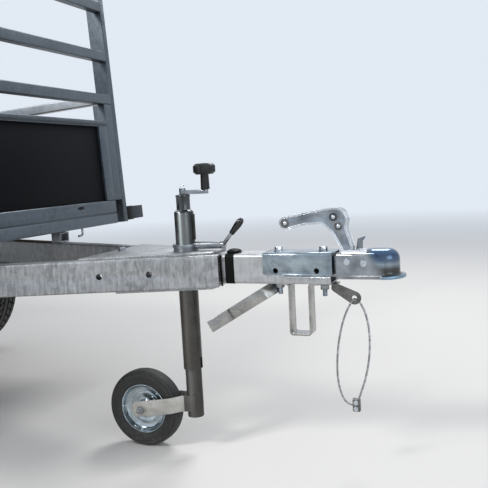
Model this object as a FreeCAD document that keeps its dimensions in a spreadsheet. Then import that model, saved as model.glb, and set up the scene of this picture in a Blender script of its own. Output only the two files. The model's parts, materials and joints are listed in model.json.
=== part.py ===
import FreeCAD, Part
import Sketcher
import math
import os
import re

# Utility trailer: V drawbar with a ball coupling and a jockey wheel, one torsion axle,
# a panelled load bed with a tall front rack and a hinged tailgate.
# Millimetres. The origin is the centre of the towing ball. +X points ahead, along the pull,
# +Y to the trailer's left and +Z up. A reach is a distance behind the ball.
# The load bed has a frame of its own, nose up by bed_pitch, with its origin under the front wall.

os.makedirs("parts", exist_ok=True)
doc = FreeCAD.newDocument("utility_trailer")
sheet = doc.addObject("Spreadsheet::Sheet", "Sizes")
V = FreeCAD.Vector

sizes = {
    # Clearances, and how far a cutting tool passes through a face
    "seat_gap": 0.3,
    "running_gap": 0.06,
    "slide_gap": 0.3,
    "cut_past": 1,
    # Ground and ball
    "ball_height": 468,
    "ball_radius": 25,
    "ball_gap": 0.5,
    # Drawbar tube and arms
    "tube_side": 70,
    "tube_wall": 4,
    "tube_corner": 8,
    "tube_setback": 5,
    "arm_height": 78,
    "arm_width": 40,
    "arm_wall": 3,
    "arm_corner": 6,
    "arm_drop": 3,
    "arm_lead": 107,
    "arm_spread": 52,
    "arm_end_half": 581.497,
    "arm_past": 18,
    "arm_hole_radius": 7.5,
    "arm_hole_lead": 48,
    "arm_hole_pitch": 112,
    "gusset_thickness": 5,
    "gusset_lead": 88,
    "gusset_length": 212,
    "gusset_low_length": 132,
    "gusset_inset": 12,
    "gusset_fold": 14,
    # Coupling: the clamp round the tube's end
    "clamp_end": 30.5,
    "clamp_front": 110,
    "clamp_wall": 3.5,
    "clamp_corner": 7,
    "clamp_skirt": 11,
    "clamp_lip": 5,
    "clamp_lip_height": 7,
    "clamp_lip_drop": 6,
    "clamp_lip_length": 116,
    "side_hole_radius": 6.5,
    "side_hole_pitch": 97.5,
    "side_hole_setback": 36,
    "side_hole_drop": 3,
    # Coupling: the head
    "head_wall": 4,
    "head_top": 36,
    "head_half_width": 37,
    "head_corner": 6,
    "head_skirt": 20.5,
    "neck_length": 10,
    "neck_grip": 19,
    "dome_radius": 34,
    "dome_top": 43.5,
    "dome_corner": 23,
    "dome_length": 18,
    "nose_slope_start": 17,
    "nose_slope_end": 7,
    "nose_slope_low": 17,
    "lip_radius": 47,
    "lip_thickness": 7,
    "lip_flare": 7,
    "flange_stand": 4,
    "guide_back": 92,
    "guide_front": 37,
    "guide_rise": 5,
    "guide_width": 4,
    "guide_gap": 1,
    "catch_back": 67,
    "catch_front": 41,
    "catch_rise": 34,
    "catch_lean": 6,
    "catch_hook": 9,
    "catch_thickness": 3,
    # Coupling: the handle, a chain of round places along the pressed lever
    "handle_width": 24,
    "handle_wall": 3,
    "handle_rim": 3.5,
    "handle_sink": 0.8,
    "tail_reach": 223,
    "tail_rise": 68,
    "tail_radius": 14.5,
    "step_reach": 178,
    "step_rise": 77,
    "step_radius": 13.5,
    "waist_reach": 132,
    "waist_rise": 82.5,
    "waist_radius": 16.5,
    "elbow_reach": 104,
    "elbow_rise": 74,
    "elbow_radius": 26,
    "knee_reach": 99,
    "knee_rise": 54,
    "knee_radius": 17,
    "foot_reach": 81,
    "foot_rise": 11,
    "foot_radius": 13,
    "boss_radius": 8.5,
    "boss_stand": 1.6,
    "pivot_reach": 109,
    "pivot_rise": 80,
    "stop_reach": 98,
    "stop_rise": 59,
    "tab_back": 133,
    "tab_length": 15,
    "tab_drop": 10,
    # Brackets under the tube, and the safety cable
    "hoop_back": 221,
    "hoop_front": 169,
    "hoop_depth": 158,
    "hoop_width": 40,
    "hoop_strip": 4,
    "hoop_foot": 22,
    "strap_width": 29,
    "strap_strip": 4,
    "strap_reach": 282,
    "strap_drop": 61,
    "strap_length": 165,
    "strap_fall": 30.6,
    "strap_side": 20,
    "strap_root": 32,
    "strap_turn": 30,
    "strap_bend": 12,
    "strap_crease": 95,
    "strap_step": 5,
    "strap_curl": 9,
    "ear_thickness": 4,
    "ear_foot_grip": 27,
    "ear_foot_length": 36,
    "ear_foot_width": 34,
    "ear_foot_thickness": 3,
    "ear_root_lead": 2,
    "ear_root_radius": 10,
    "ear_hole_reach": 70,
    "ear_hole_drop": 70,
    "ear_hole_radius": 6,
    "ear_boss_radius": 15,
    "cable_radius": 2.5,
    "clip_reach": 74,
    "clip_low": 336,
    "clip_height": 31,
    "clip_width": 18,
    "clip_depth": 12,
    # Jockey wheel
    "jockey_reach": 488,
    "jockey_tube_radius": 24,
    "jockey_tube_wall": 3.5,
    "jockey_tube_top": 135,
    "jockey_tube_low": 257,
    "jockey_leg_past": 12,
    "jockey_leg_wall": 3,
    "jockey_leg_lap": 60,
    "jockey_clear": 18,
    "jockey_wheel_radius": 100,
    "jockey_wheel_width": 50,
    "jockey_shoulder": 14,
    "jockey_rim_radius": 65,
    "jockey_bead_inset": 5,
    "jockey_hub_clear": 9,
    "jockey_rim_dish": 8,
    "jockey_hub_radius": 14,
    "jockey_pin_radius": 6,
    "jockey_nut_radius": 10,
    "jockey_nut_height": 5,
    "jockey_notch_width": 10,
    "jockey_notch_height": 30,
    "rib_width": 6,
    "rib_stand": 4,
    "rib_low": 68,
    "fork_strip": 4,
    "fork_height": 40,
    "fork_clear": 6,
    "fork_bend_front": 30,
    "fork_bend_back": 56,
    "fork_lead": 12,
    "fork_tail": 24,
    "fork_end_radius": 14,
    "fork_fall": 26,
    "clamp_shell": 6,
    "clamp_low": 38,
    "clamp_high": 50,
    "clamp_split": 4,
    "collar_height": 8,
    "collar_stand": 2,
    "cap_radius": 18,
    "cap_flange": 20,
    "cap_flange_height": 5,
    "cap_ring": 6,
    "cap_height": 44,
    "crank_reach": 62,
    "crank_width": 14,
    "crank_thickness": 10,
    "crank_boss_radius": 8,
    "crank_boss_height": 5,
    "knob_stem_radius": 11,
    "knob_stem_height": 36,
    "knob_radius": 27,
    "knob_height": 26,
    "knob_edge": 6,
    "knob_lobe_count": 8,
    "knob_flute_radius": 5,
    "lever_radius": 4.5,
    "lever_rise": 58,
    "lever_run": 50,
    "lever_washer": 10,
    "lever_grip_radius": 9,
    "lever_grip_start": 36,
    "lever_grip_length": 46,
    "lever_boss_radius": 9,
    "lever_boss_height": 54,
    "lever_boss_length": 95,
    # Axle and road wheels
    "axle_reach": 1985,
    "wheel_clear": 10.5,
    "wheel_radius": 281,
    "wheel_width": 145,
    "tyre_bulge": 60,
    "tyre_shoulder": 25,
    "rim_radius": 165,
    "rim_wall": 4,
    "rim_flange": 10,
    "rim_width": 124,
    "rim_well_depth": 18,
    "rim_well_half": 16,
    "rim_well_place": 8,
    "rim_well_slope": 16,
    "disc_offset": 30,
    "disc_thickness": 5,
    "disc_swell": 10,
    "disc_hole_radius": 11,
    "disc_hole_ring": 112,
    "disc_hole_count": 12,
    "beam_radius": 32,
    "beam_trail": 135,
    "beam_below_arm": 58,
    "hub_arm_gap": 19,
    "suspension_thickness": 26,
    "suspension_eye": 4,
    "stub_radius": 15,
    "stub_eye": 13,
    "hub_radius": 48,
    "hub_flange_radius": 66,
    "hub_flange_thickness": 9,
    "hub_length": 130,
    "cap_dome_radius": 26,
    "cap_dome_length": 22,
    "cap_dome_edge": 8,
    "hanger_thickness": 6,
    "hanger_length": 120,
    "hanger_foot": 80,
    "hanger_inset": 20,
    "saddle_length": 90,
    "saddle_width": 52,
    "guard_gap": 34,
    "guard_wall": 4,
    "guard_beyond": 34.5,
    "guard_round": 14,
    "guard_lip": 16,
    "guard_sweep": 196,
    "guard_inset": 6,
    "guard_strut_width": 30,
    "guard_strut_thickness": 5,
    "guard_strut_short": 14,
    "guard_strut_angle": 32,
    # Load bed, in its own frame
    "wall_reach": 1041,
    "bed_clear": 33,
    "bed_pitch": 3.06,
    "bed_length": 1850,
    "bed_half_width": 648,
    "rail_height": 81,
    "rail_depth": 40,
    "rail_wall": 3,
    "corner_width": 45.4,
    "rail_groove_height": 34,
    "rail_groove_depth": 4,
    "rail_groove_width": 5,
    "rail_slot_place": 368,
    "rail_slot_width": 34,
    "rail_slot_height": 12,
    "rail_slot_level": 60,
    "sill_width": 65,
    "sill_wall": 4,
    "floor_level": 36,
    "floor_thickness": 15,
    "beam_depth": 60,
    "beam_first": 550,
    "beam_second_lag": 158,
    "beam_third": 1440,
    "beam_wall": 4,
    "bracket_length": 34,
    "bracket_width": 44,
    "bracket_wall": 4,
    "bracket_place": 24,
    "panel_top": 337,
    "panel_thickness": 12,
    "panel_inset": 9,
    "frame_depth": 30,
    "frame_cap": 20,
    "upright_width": 50,
    "post_width": 24,
    "post_depth": 60,
    "section_corner": 4,
    "corner_depth": 50,
    "corner_gap": 1,
    "rack_depth": 30,
    "rack_rail_height": 34,
    "rack_first_rise": 60,
    "rack_first_pitch": 150,
    "rack_second_pitch": 172,
    "rack_third_pitch": 174,
    "side_outset": 14,
    "side_rail_rise": 68,
    "side_rail_height": 33,
    "side_rail_depth": 30,
    "prop_width": 30,
    "prop_depth": 26,
    "lamp_stand": 7,
    "lamp_width": 108,
    "lamp_body_width": 34,
    "lamp_height": 50,
    "lamp_depth": 42,
    "lamp_level": 4,
    "lens_inset": 2,
    "lens_corner": 7,
    "tail_lamp_width": 150,
    "tail_lamp_height": 74,
    "tail_lamp_depth": 46,
    "tail_lamp_level": 2,
    "tail_lamp_outset": 4,
    "tail_lens_depth": 18,
    "tail_lens_margin": 4,
    "hook_place": 388,
    "hook_drop": 27,
    "hook_radius": 3.5,
    "hook_bend": 10,
    "hook_reach": 24,
    "gate_gap": 6,
    "gate_foot_height": 44,
    "hinge_radius": 7,
    "hinge_pin_radius": 4,
    "hinge_length": 90,
    "hinge_place": 400,
    "hinge_outset": 10,
    "knuckle_gap": 0.5,
    "leaf_thickness": 4,
    "leaf_height": 44,
    "leaf_drop": 34,
    "latch_width": 60,
    "latch_height": 24,
    "latch_depth": 14,
    "latch_level": 290,
}

# Places and lengths that follow from the sizes above
s = sizes
s["tube_front"] = s["clamp_front"] + s["tube_setback"]
s["neck_back"] = s["tube_front"] + s["neck_grip"]
s["side_hole_front"] = s["clamp_front"] + s["side_hole_setback"]
s["side_hole_back"] = s["side_hole_front"] + s["side_hole_pitch"]
s["clamp_back"] = s["side_hole_back"] + s["clamp_end"]
s["clamp_lip_back"] = s["clamp_front"] + s["clamp_lip_length"]
s["ear_foot_back"] = s["tube_front"] + s["ear_foot_grip"]
s["ear_root_reach"] = s["tube_front"] - s["ear_root_lead"]
s["arm_front"] = s["jockey_reach"] - s["arm_lead"]
s["arm_hole_first"] = s["jockey_reach"] + s["arm_hole_lead"]
s["gusset_front"] = s["jockey_reach"] - s["gusset_lead"]
s["gusset_back"] = s["jockey_reach"] + s["gusset_length"]
s["gusset_low_back"] = s["jockey_reach"] + s["gusset_low_length"]
s["lever_boss_reach"] = s["jockey_reach"] - s["lever_boss_length"]
s["beam_reach"] = s["axle_reach"] - s["beam_trail"]
s["arm_back"] = s["beam_reach"] + s["arm_past"]
s["arm_angle"] = math.degrees(math.atan2(s["arm_end_half"] - s["arm_spread"], s["arm_back"] - s["arm_front"]))
s["arm_low"] = s["arm_drop"] + s["arm_height"] / 2
s["beam_half_flat"] = s["beam_radius"] * math.sin(math.radians(60))
s["beam_drop"] = s["arm_low"] + s["beam_below_arm"]
s["saddle_rise"] = s["beam_below_arm"] - s["beam_half_flat"]
s["jockey_trail"] = s["jockey_wheel_radius"] + s["jockey_tube_radius"] + s["jockey_clear"]
s["jockey_leg_low"] = s["ball_height"] - s["jockey_wheel_radius"] + s["jockey_leg_past"]
s["fork_gap"] = s["jockey_wheel_width"] / 2 + s["fork_clear"]
s["jockey_rim_half"] = s["jockey_wheel_width"] / 2 - s["jockey_bead_inset"]
s["jockey_hub_half"] = s["fork_gap"] - s["jockey_hub_clear"]
s["bed_rise"] = s["arm_height"] / 2 - s["arm_drop"] + s["bed_clear"]
s["rail_end_half"] = s["bed_half_width"] - s["post_width"] - s["corner_width"] - 2 * s["seat_gap"]
s["panel_half_width"] = s["rail_end_half"] - s["upright_width"]
s["beam_second"] = s["arm_back"] - s["wall_reach"] + s["beam_second_lag"]
s["frame_top"] = s["panel_top"] + s["frame_cap"]
s["side_rail_level"] = s["frame_top"] + s["side_rail_rise"]
s["rack_low"] = s["frame_top"] + s["rack_first_rise"]
s["rack_middle"] = s["rack_low"] + s["rack_first_pitch"]
s["rack_high"] = s["rack_middle"] + s["rack_second_pitch"]
s["rack_top"] = s["rack_high"] + s["rack_third_pitch"]
s["corner_top"] = s["rack_low"] - s["corner_gap"]
s["lamp_inner"] = s["bed_half_width"] + s["lamp_stand"]
s["wall_half"] = s["bed_half_width"] + s["side_outset"]
s["track_half"] = s["wall_half"] + s["wheel_clear"] + s["wheel_width"] / 2
s["hub_inner_half"] = s["track_half"] + s["disc_offset"] - s["hub_length"]
s["beam_half_length"] = s["hub_inner_half"] - s["hub_arm_gap"] - s["suspension_thickness"]
s["wheel_outer_half"] = s["track_half"] + s["wheel_width"] / 2
s["guard_width"] = s["wheel_outer_half"] + s["guard_beyond"] - s["wall_half"] - s["guard_inset"]

for row, (name, number) in enumerate(sizes.items(), 1):
    sheet.set("A%d" % row, name)
    sheet.set("B%d" % row, str(number))
    sheet.setAlias("B%d" % row, name)
doc.recompute()


def bind(item, **formulas):
    # Ties properties to the sheet. A double underline in a name stands for a dot.
    for name, formula in formulas.items():
        tied = re.sub(r"[a-z_]+", lambda m: "Sizes." + m.group() if m.group() in sizes else m.group(), formula)
        item.setExpression(name.replace("__", "."), tied)
    return item


def place(item, x="0", y="0", z="0", turn=None):
    if turn:
        item.Placement = FreeCAD.Placement(V(), FreeCAD.Rotation(*turn))
    return bind(item, Placement__Base__x=x, Placement__Base__y=y, Placement__Base__z=z)


def box(x, y, z, length, width, height):
    # x, y and z are the low corner.
    item = doc.addObject("Part::Box", "block")
    bind(item, Length=length, Width=width, Height=height)
    return place(item, x, y, z)


def twins(x, y, z, length, width, height):
    # One block on each side. y is the face nearer the centre line.
    far = box(x, y, z, length, width, height)
    near = box(x, "-(%s) - (%s)" % (y, width), z, length, width, height)
    return [far, near]


alongX = (V(0, 1, 0), 90)
alongY = (V(1, 0, 0), -90)


def rod(radius, length, x="0", y="0", z="0", turn=None):
    # A cylinder whose base centre is at x, y, z. It rises along Z unless turned.
    item = doc.addObject("Part::Cylinder", "rod")
    bind(item, Radius=radius, Height=length)
    return place(item, x, y, z, turn)


def ball(radius, x="0", y="0", z="0"):
    item = doc.addObject("Part::Sphere", "ball")
    bind(item, Radius=radius)
    return place(item, x, y, z)


def cut(base, *tools):
    item = doc.addObject("Part::Cut", "cut")
    item.Base = base
    item.Tool = tools[0] if len(tools) == 1 else fuse(*tools)
    return item


def fuse(*pieces):
    item = doc.addObject("Part::MultiFuse", "fuse")
    item.Shapes = list(pieces)
    item.Refine = True
    return item


def group(*pieces):
    # Pieces that share a node without touching one another.
    item = doc.addObject("Part::Compound", "group")
    item.Links = list(pieces)
    return item


def blended(item, radius, test):
    # Rounds the edges that pass the test. It sees an edge's direction and its place from the middle.
    doc.recompute()
    middle = item.Shape.BoundBox.Center
    edges = []
    for index, edge in enumerate(item.Shape.Edges, 1):
        if test(edge.tangentAt(edge.FirstParameter), edge.CenterOfMass - middle):
            edges.append((index, radius, radius))
    rounded_item = doc.addObject("Part::Fillet", "rounded")
    rounded_item.Base = item
    rounded_item.Edges = edges
    return rounded_item


def runsX(way, at):
    return abs(way.x) > 0.99


def runsY(way, at):
    return abs(way.y) > 0.99


def runsZ(way, at):
    return abs(way.z) > 0.99


def body(name):
    return doc.addObject("PartDesign::Body", name)


def sketch(owner, role, *outlines):
    # Closed outlines of straight lines. Every corner is tied to the sheet by two formulas.
    item = owner.newObject("Sketcher::SketchObject", "outline")
    plane = [f for f in owner.Origin.OriginFeatures if f.Role == role][0]
    item.AttachmentSupport = [(plane, "")]
    item.MapMode = "FlatFace"
    for corners in outlines:
        first = item.GeometryCount
        count = len(corners)
        start = []
        for i in range(count):
            turn = 2 * math.pi * i / count + 0.1
            start.append(V(90 * math.cos(turn), 90 * math.sin(turn), 0))
        for i in range(count):
            item.addGeometry(Part.LineSegment(start[i], start[(i + 1) % count]))
        for i in range(count):
            after = first + (i + 1) % count
            item.addConstraint(Sketcher.Constraint("Coincident", first + i, 2, after, 1))
        for i, (across, along) in enumerate(corners):
            for kind, formula, guess in (("DistanceX", across, start[i].x), ("DistanceY", along, start[i].y)):
                mark = item.addConstraint(Sketcher.Constraint(kind, -1, 1, first + i, 1, guess))
                bind(item, **{"Constraints[%d]" % mark: formula})
    return item


def pad(owner, profile, length, centred=True):
    item = owner.newObject("PartDesign::Pad", "pad")
    item.Profile = profile
    item.Midplane = centred
    return bind(item, Length=length)


def revolve(owner, profile, angle="360"):
    item = owner.newObject("PartDesign::Revolution", "turned")
    item.Profile = profile
    item.ReferenceAxis = (profile, ["V_Axis"])
    item.Midplane = True
    return bind(item, Angle=angle)


def bentLine(corners, closed):
    # Lines joined by arcs. A corner is a point and the radius of its arc.
    count = len(corners)
    turns = []
    for i, (point, radius) in enumerate(corners):
        if radius == 0:
            turns.append((point, None, point))
            continue
        before = (corners[i - 1][0] - point).normalize()
        after = (corners[(i + 1) % count][0] - point).normalize()
        half = before.getAngle(after) / 2
        reach = radius / math.tan(half)
        middle = point + (before + after).normalize() * (radius / math.sin(half) - radius)
        turns.append((point + before * reach, middle, point + after * reach))
    edges = []
    for i, (start, middle, stop) in enumerate(turns):
        if middle is not None:
            edges.append(Part.Arc(start, middle, stop).toShape())
        if closed or i < count - 1:
            following = turns[(i + 1) % count][0]
            if (following - stop).Length > 0.001:
                edges.append(Part.LineSegment(stop, following).toShape())
    return Part.Wire(edges)


def flatForm(corners, y, thickness):
    # A plate in the XZ plane with rounded corners: (x, z, radius) each.
    outline = bentLine([(V(x, y, z), radius) for x, z, radius in corners], True)
    return Part.Face(outline).extrude(V(0, thickness, 0))


def link(start, end, y, thickness):
    # A plate round two circles and their outer tangents: (x, z, radius) each.
    run = V(end[0] - start[0], 0, end[1] - start[1])
    lean = math.asin((start[2] - end[2]) / run.Length)
    base = math.atan2(run.z, run.x)
    way = V(run).normalize()
    corners = []
    for (x, z, radius), sign in ((start, 1), (end, 1), (end, -1), (start, -1)):
        turn = base + sign * (math.pi / 2 - lean)
        corners.append(V(x + radius * math.cos(turn), y, z + radius * math.sin(turn)))
    behind = V(start[0], y, start[1]) - way * start[2]
    ahead = V(end[0], y, end[1]) + way * end[2]
    edges = [
        Part.Arc(corners[3], behind, corners[0]).toShape(),
        Part.LineSegment(corners[0], corners[1]).toShape(),
        Part.Arc(corners[1], ahead, corners[2]).toShape(),
        Part.LineSegment(corners[2], corners[3]).toShape(),
    ]
    return Part.Face(Part.Wire(edges)).extrude(V(0, thickness, 0))


def chain(places, y, thickness, inset=0, shift=(0, 0)):
    # Links along a run of round places, fused to one plate.
    rounds = [(x + shift[0], z + shift[1], radius - inset) for x, z, radius in places]
    links = [link(a, b, y, thickness) for a, b in zip(rounds, rounds[1:])]
    return links[0].fuse(links[1:])


def shaped(shape, name="form"):
    item = doc.addObject("Part::Feature", name)
    item.Shape = shape
    return item


def mirrored(shape):
    # The piece and its twin across the centre line.
    return Part.makeCompound([shape, shape.mirror(V(), V(0, 1, 0))])


nodes = {}


def node(name, item, placement=None):
    # A finished sub-part. Its label names its file.
    item.Label = name
    if placement is not None:
        item.Placement = placement
    nodes[name] = item
    return item


def bedFrame():
    turn = FreeCAD.Rotation(V(0, 1, 0), -sheet.bed_pitch)
    return FreeCAD.Placement(V(-sheet.wall_reach, 0, sheet.bed_rise), turn)


def wheelFrame(reach, side, height):
    # The local Y axis is the spin axis and points away from the trailer. Local X points up.
    turn = FreeCAD.Rotation(V(0, 1, 0), -90)
    if side < 0:
        turn = FreeCAD.Rotation(V(0, 0, 1), 180).multiply(turn)
    return FreeCAD.Placement(V(-reach, 0, height), turn)


def boltHoles():
    # The two cross holes that the clamp and the tube's end share.
    holes = []
    for reach in ("side_hole_back", "side_hole_front"):
        holes.append(rod("side_hole_radius", "3 * tube_side", "-" + reach, "-1.5 * tube_side",
                         "-side_hole_drop", alongY))
    return holes


# Drawbar

def frontTube():
    back = "(jockey_reach - jockey_tube_radius - slide_gap - clamp_shell - seat_gap)"
    outer = box("-%s" % back, "-tube_side / 2", "-tube_side / 2",
                "%s - tube_front" % back, "tube_side", "tube_side")
    inner = box("-%s - cut_past" % back, "-tube_side / 2 + tube_wall", "-tube_side / 2 + tube_wall",
                "%s - tube_front + 2 * cut_past" % back, "tube_side - 2 * tube_wall", "tube_side - 2 * tube_wall")
    node("front_tube", cut(blended(outer, sheet.tube_corner, runsX), inner, *boltHoles()))


def drawbarArms():
    # A box section laid along each arm's own line, then mitred against the tube's side.
    s = sheet
    slope = math.radians(s.arm_angle)
    length = (s.arm_back - s.arm_front) / math.cos(slope) + s.arm_width
    outer = Part.makeBox(length, s.arm_width, s.arm_height)
    outer = outer.makeFillet(s.arm_corner, [e for e in outer.Edges if abs(e.tangentAt(0).x) > 0.99])
    inner = Part.makeBox(length + 2 * s.cut_past, s.arm_width - 2 * s.arm_wall, s.arm_height - 2 * s.arm_wall,
                         V(-s.cut_past, s.arm_wall, s.arm_wall))
    arm = outer.cut(inner)
    for i in range(2):
        along = (s.arm_hole_first + i * s.arm_hole_pitch - s.arm_front) / math.cos(slope)
        hole = Part.makeCylinder(s.arm_hole_radius, s.arm_width + 2 * s.cut_past,
                                 V(along, -s.cut_past, s.arm_height / 2), V(0, 1, 0))
        arm = arm.cut(hole)
    # Local X runs back along the arm and local Y = 0 is the outer face.
    turn = FreeCAD.Rotation(V(0, 0, 1), 180 - s.arm_angle)
    arm.Placement = FreeCAD.Placement(V(-s.arm_front, s.arm_spread, -s.arm_drop - s.arm_height / 2), turn)
    side_face = s.tube_side / 2 + s.seat_gap
    kept = Part.makeBox(s.arm_back - s.arm_front, s.bed_half_width, 2 * s.arm_height,
                        V(-s.arm_back, side_face, -s.arm_height))
    node("drawbar_arms", shaped(mirrored(arm.common(kept))), FreeCAD.Placement())


def gussetPlates():
    # Two plates tie the arms to the tube, over and under. The jockey clamp's shell passes through both.
    def plate(back, low, fold):
        front_half = "(arm_spread - gusset_inset + (gusset_front - arm_front) * tan(arm_angle))"
        back_half = "(arm_spread - gusset_inset + (%s - arm_front) * tan(arm_angle))" % back
        owner = body("gusset")
        outline = sketch(owner, "XY_Plane", [
            ("-gusset_front", front_half), ("-%s" % back, back_half),
            ("-%s" % back, "-" + back_half), ("-gusset_front", "-" + front_half)])
        pad(owner, outline, "gusset_thickness", centred=False)
        place(owner, z=low)
        hole = rod("jockey_tube_radius + slide_gap + clamp_shell + seat_gap", "gusset_thickness + 2 * cut_past",
                   "-jockey_reach", "0", "%s - cut_past" % low)
        sheetMetal = cut(owner, hole)
        if not fold:
            return sheetMetal
        inner_half = "(%s + gusset_inset - arm_width / cos(arm_angle) - 2 * gusset_thickness)" % back_half
        flange = box("-%s" % back, "-" + inner_half, "%s - gusset_fold" % low,
                     "gusset_thickness", "2 * " + inner_half, "gusset_fold")
        return fuse(sheetMetal, flange)

    top = plate("gusset_back", "arm_height / 2 - arm_drop", True)
    low = plate("gusset_low_back", "-arm_height / 2 - arm_drop - gusset_thickness", False)
    node("gusset_plates", group(top, low))


# Coupling

def couplingClamp():
    # A pressed channel over the tube's end. A flared lip runs along each lower edge, over its front part.
    half = "(tube_side / 2 + seat_gap)"
    length = "(clamp_back - clamp_front)"
    outer = box("-clamp_back", "-%s - clamp_wall" % half, "-clamp_skirt",
                length, "2 * %s + 2 * clamp_wall" % half, "%s + clamp_wall + clamp_skirt" % half)
    outer = blended(outer, sheet.clamp_corner, lambda way, at: runsX(way, at) and at.z > 0)
    lips = []
    for side in ("", "-"):
        owner = body("lip")
        low = "-clamp_skirt - clamp_lip_drop"
        high = "-clamp_skirt - clamp_lip_drop + clamp_lip_height"
        outline = sketch(owner, "XZ_Plane", [
            ("-clamp_lip_back", high), ("-clamp_lip_back", "-clamp_skirt"),
            ("-clamp_lip_back + clamp_lip_height", low), ("-clamp_front - clamp_lip_height", low),
            ("-clamp_front", "-clamp_skirt"), ("-clamp_front", high)])
        pad(owner, outline, "clamp_wall + clamp_lip")
        place(owner, y="%s(%s + (clamp_wall + clamp_lip) / 2)" % (side, half))
        lips.append(owner)
    inner = box("-clamp_back - cut_past", "-" + half, "-tube_side",
                length + " + 2 * cut_past", "2 * " + half, "%s + tube_side" % half)
    node("coupling_clamp", cut(fuse(outer, *lips), inner, *boltHoles()))


def couplingHead():
    # A pressed head: a rolled body with a sloped nose, a long dome over the ball, a flared rim round
    # its front, and a neck that plugs into the tube's end.
    s = sheet
    back = "(clamp_front - neck_length)"
    block = box("-" + back, "-head_half_width", "-head_skirt",
                back + " + nose_slope_end", "2 * head_half_width", "head_top + head_skirt")
    block = blended(block, s.head_corner, lambda way, at: runsX(way, at) and at.z > 0)
    wedge = body("wedge")
    outline = sketch(wedge, "XZ_Plane", [
        ("-nose_slope_start", "head_top"), ("nose_slope_end", "nose_slope_low"),
        ("nose_slope_end + cut_past", "nose_slope_low"), ("nose_slope_end + cut_past", "head_top + cut_past"),
        ("-nose_slope_start", "head_top + cut_past")])
    pad(wedge, outline, "3 * head_half_width")
    neck_half = "(tube_side / 2 - tube_wall - seat_gap)"
    neck = box("-neck_back", "-" + neck_half, "-head_skirt + head_wall",
               "neck_back - " + back + " + head_wall", "2 * " + neck_half, neck_half + " + head_skirt - head_wall")
    flange = box("-" + back, "-head_half_width - flange_stand", "-head_skirt",
                 back, "2 * head_half_width + 2 * flange_stand", "lip_thickness")

    # The dome's own outline is turned at the nose and at the dome's rear end, and runs straight between.
    low = -s.head_skirt
    rear = V(-s.dome_length, 0, 0)
    cap = [(V(0, 0, low), 0), (V(s.dome_radius, 0, low), 0),
           (V(s.dome_radius, 0, s.dome_top), s.dome_corner), (V(0, 0, s.dome_top), 0)]
    turned_cap = Part.Face(bentLine(cap, True)).revolve(V(), V(0, 0, 1), 360)
    rear_cap = turned_cap.copy()
    rear_cap.translate(rear)
    across = [(V(0, -s.dome_radius, low), 0), (V(0, s.dome_radius, low), 0),
              (V(0, s.dome_radius, s.dome_top), s.dome_corner), (V(0, -s.dome_radius, s.dome_top), s.dome_corner)]
    middle = Part.Face(bentLine(across, True)).extrude(rear)
    rim_top = low + s.lip_thickness
    rim_edge = s.flange_stand / 2
    rim = [(V(0, 0, low), 0), (V(s.lip_radius, 0, low), rim_edge), (V(s.lip_radius, 0, rim_top), rim_edge),
           (V(s.dome_radius, 0, rim_top), s.lip_flare), (V(s.dome_radius, 0, rim_top + 2 * s.lip_flare), 0),
           (V(0, 0, rim_top + 2 * s.lip_flare), 0)]
    half_rim = Part.Face(bentLine(rim, True)).revolve(V(), V(0, 0, 1), 180)
    half_rim.rotate(V(), V(0, 0, 1), -90)
    dome = turned_cap.fuse([rear_cap, middle, half_rim]).removeSplitter()

    # Low guides hold the handle's foot. The far one rises to the safety catch.
    guides = twins("-guide_back", "handle_width / 2 + guide_gap", "head_top - head_wall",
                   "guide_back - guide_front", "guide_width", "head_wall + guide_rise")
    root = s.head_top - s.head_wall
    tip = s.head_top + s.catch_rise
    hook = -s.catch_front - s.catch_hook
    catch = flatForm([
        (-s.catch_back, root, 0), (-s.catch_back + s.catch_lean, tip - s.catch_lean, s.catch_thickness),
        (-s.catch_front, tip, s.catch_thickness / 2), (hook, tip - 2 * s.catch_lean, s.catch_lean),
        (hook, root, 0)],
        s.handle_width / 2 + s.guide_gap, s.catch_thickness)
    outer = fuse(cut(block, wedge), shaped(dome), neck, flange, *guides, shaped(catch))

    socket = ball("ball_radius + ball_gap")
    mouth = rod("ball_radius + ball_gap", "head_skirt + cut_past", z="-head_skirt - cut_past")
    hollow = box("-" + back + " + head_wall", "-head_half_width + head_wall", "-head_skirt - cut_past",
                 back + " - head_wall - ball_radius + 2 * cut_past", "2 * head_half_width - 2 * head_wall",
                 "head_skirt + cut_past + head_top - head_wall")
    neck_hollow = box("-neck_back + head_wall", "-%s + head_wall" % neck_half, "-head_skirt - cut_past",
                      "neck_back - %s + cut_past" % back, "2 * %s - 2 * head_wall" % neck_half,
                      neck_half + " - head_wall + head_skirt + cut_past")
    node("coupling_head", cut(outer, fuse(socket, mouth, hollow, neck_hollow)))


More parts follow.
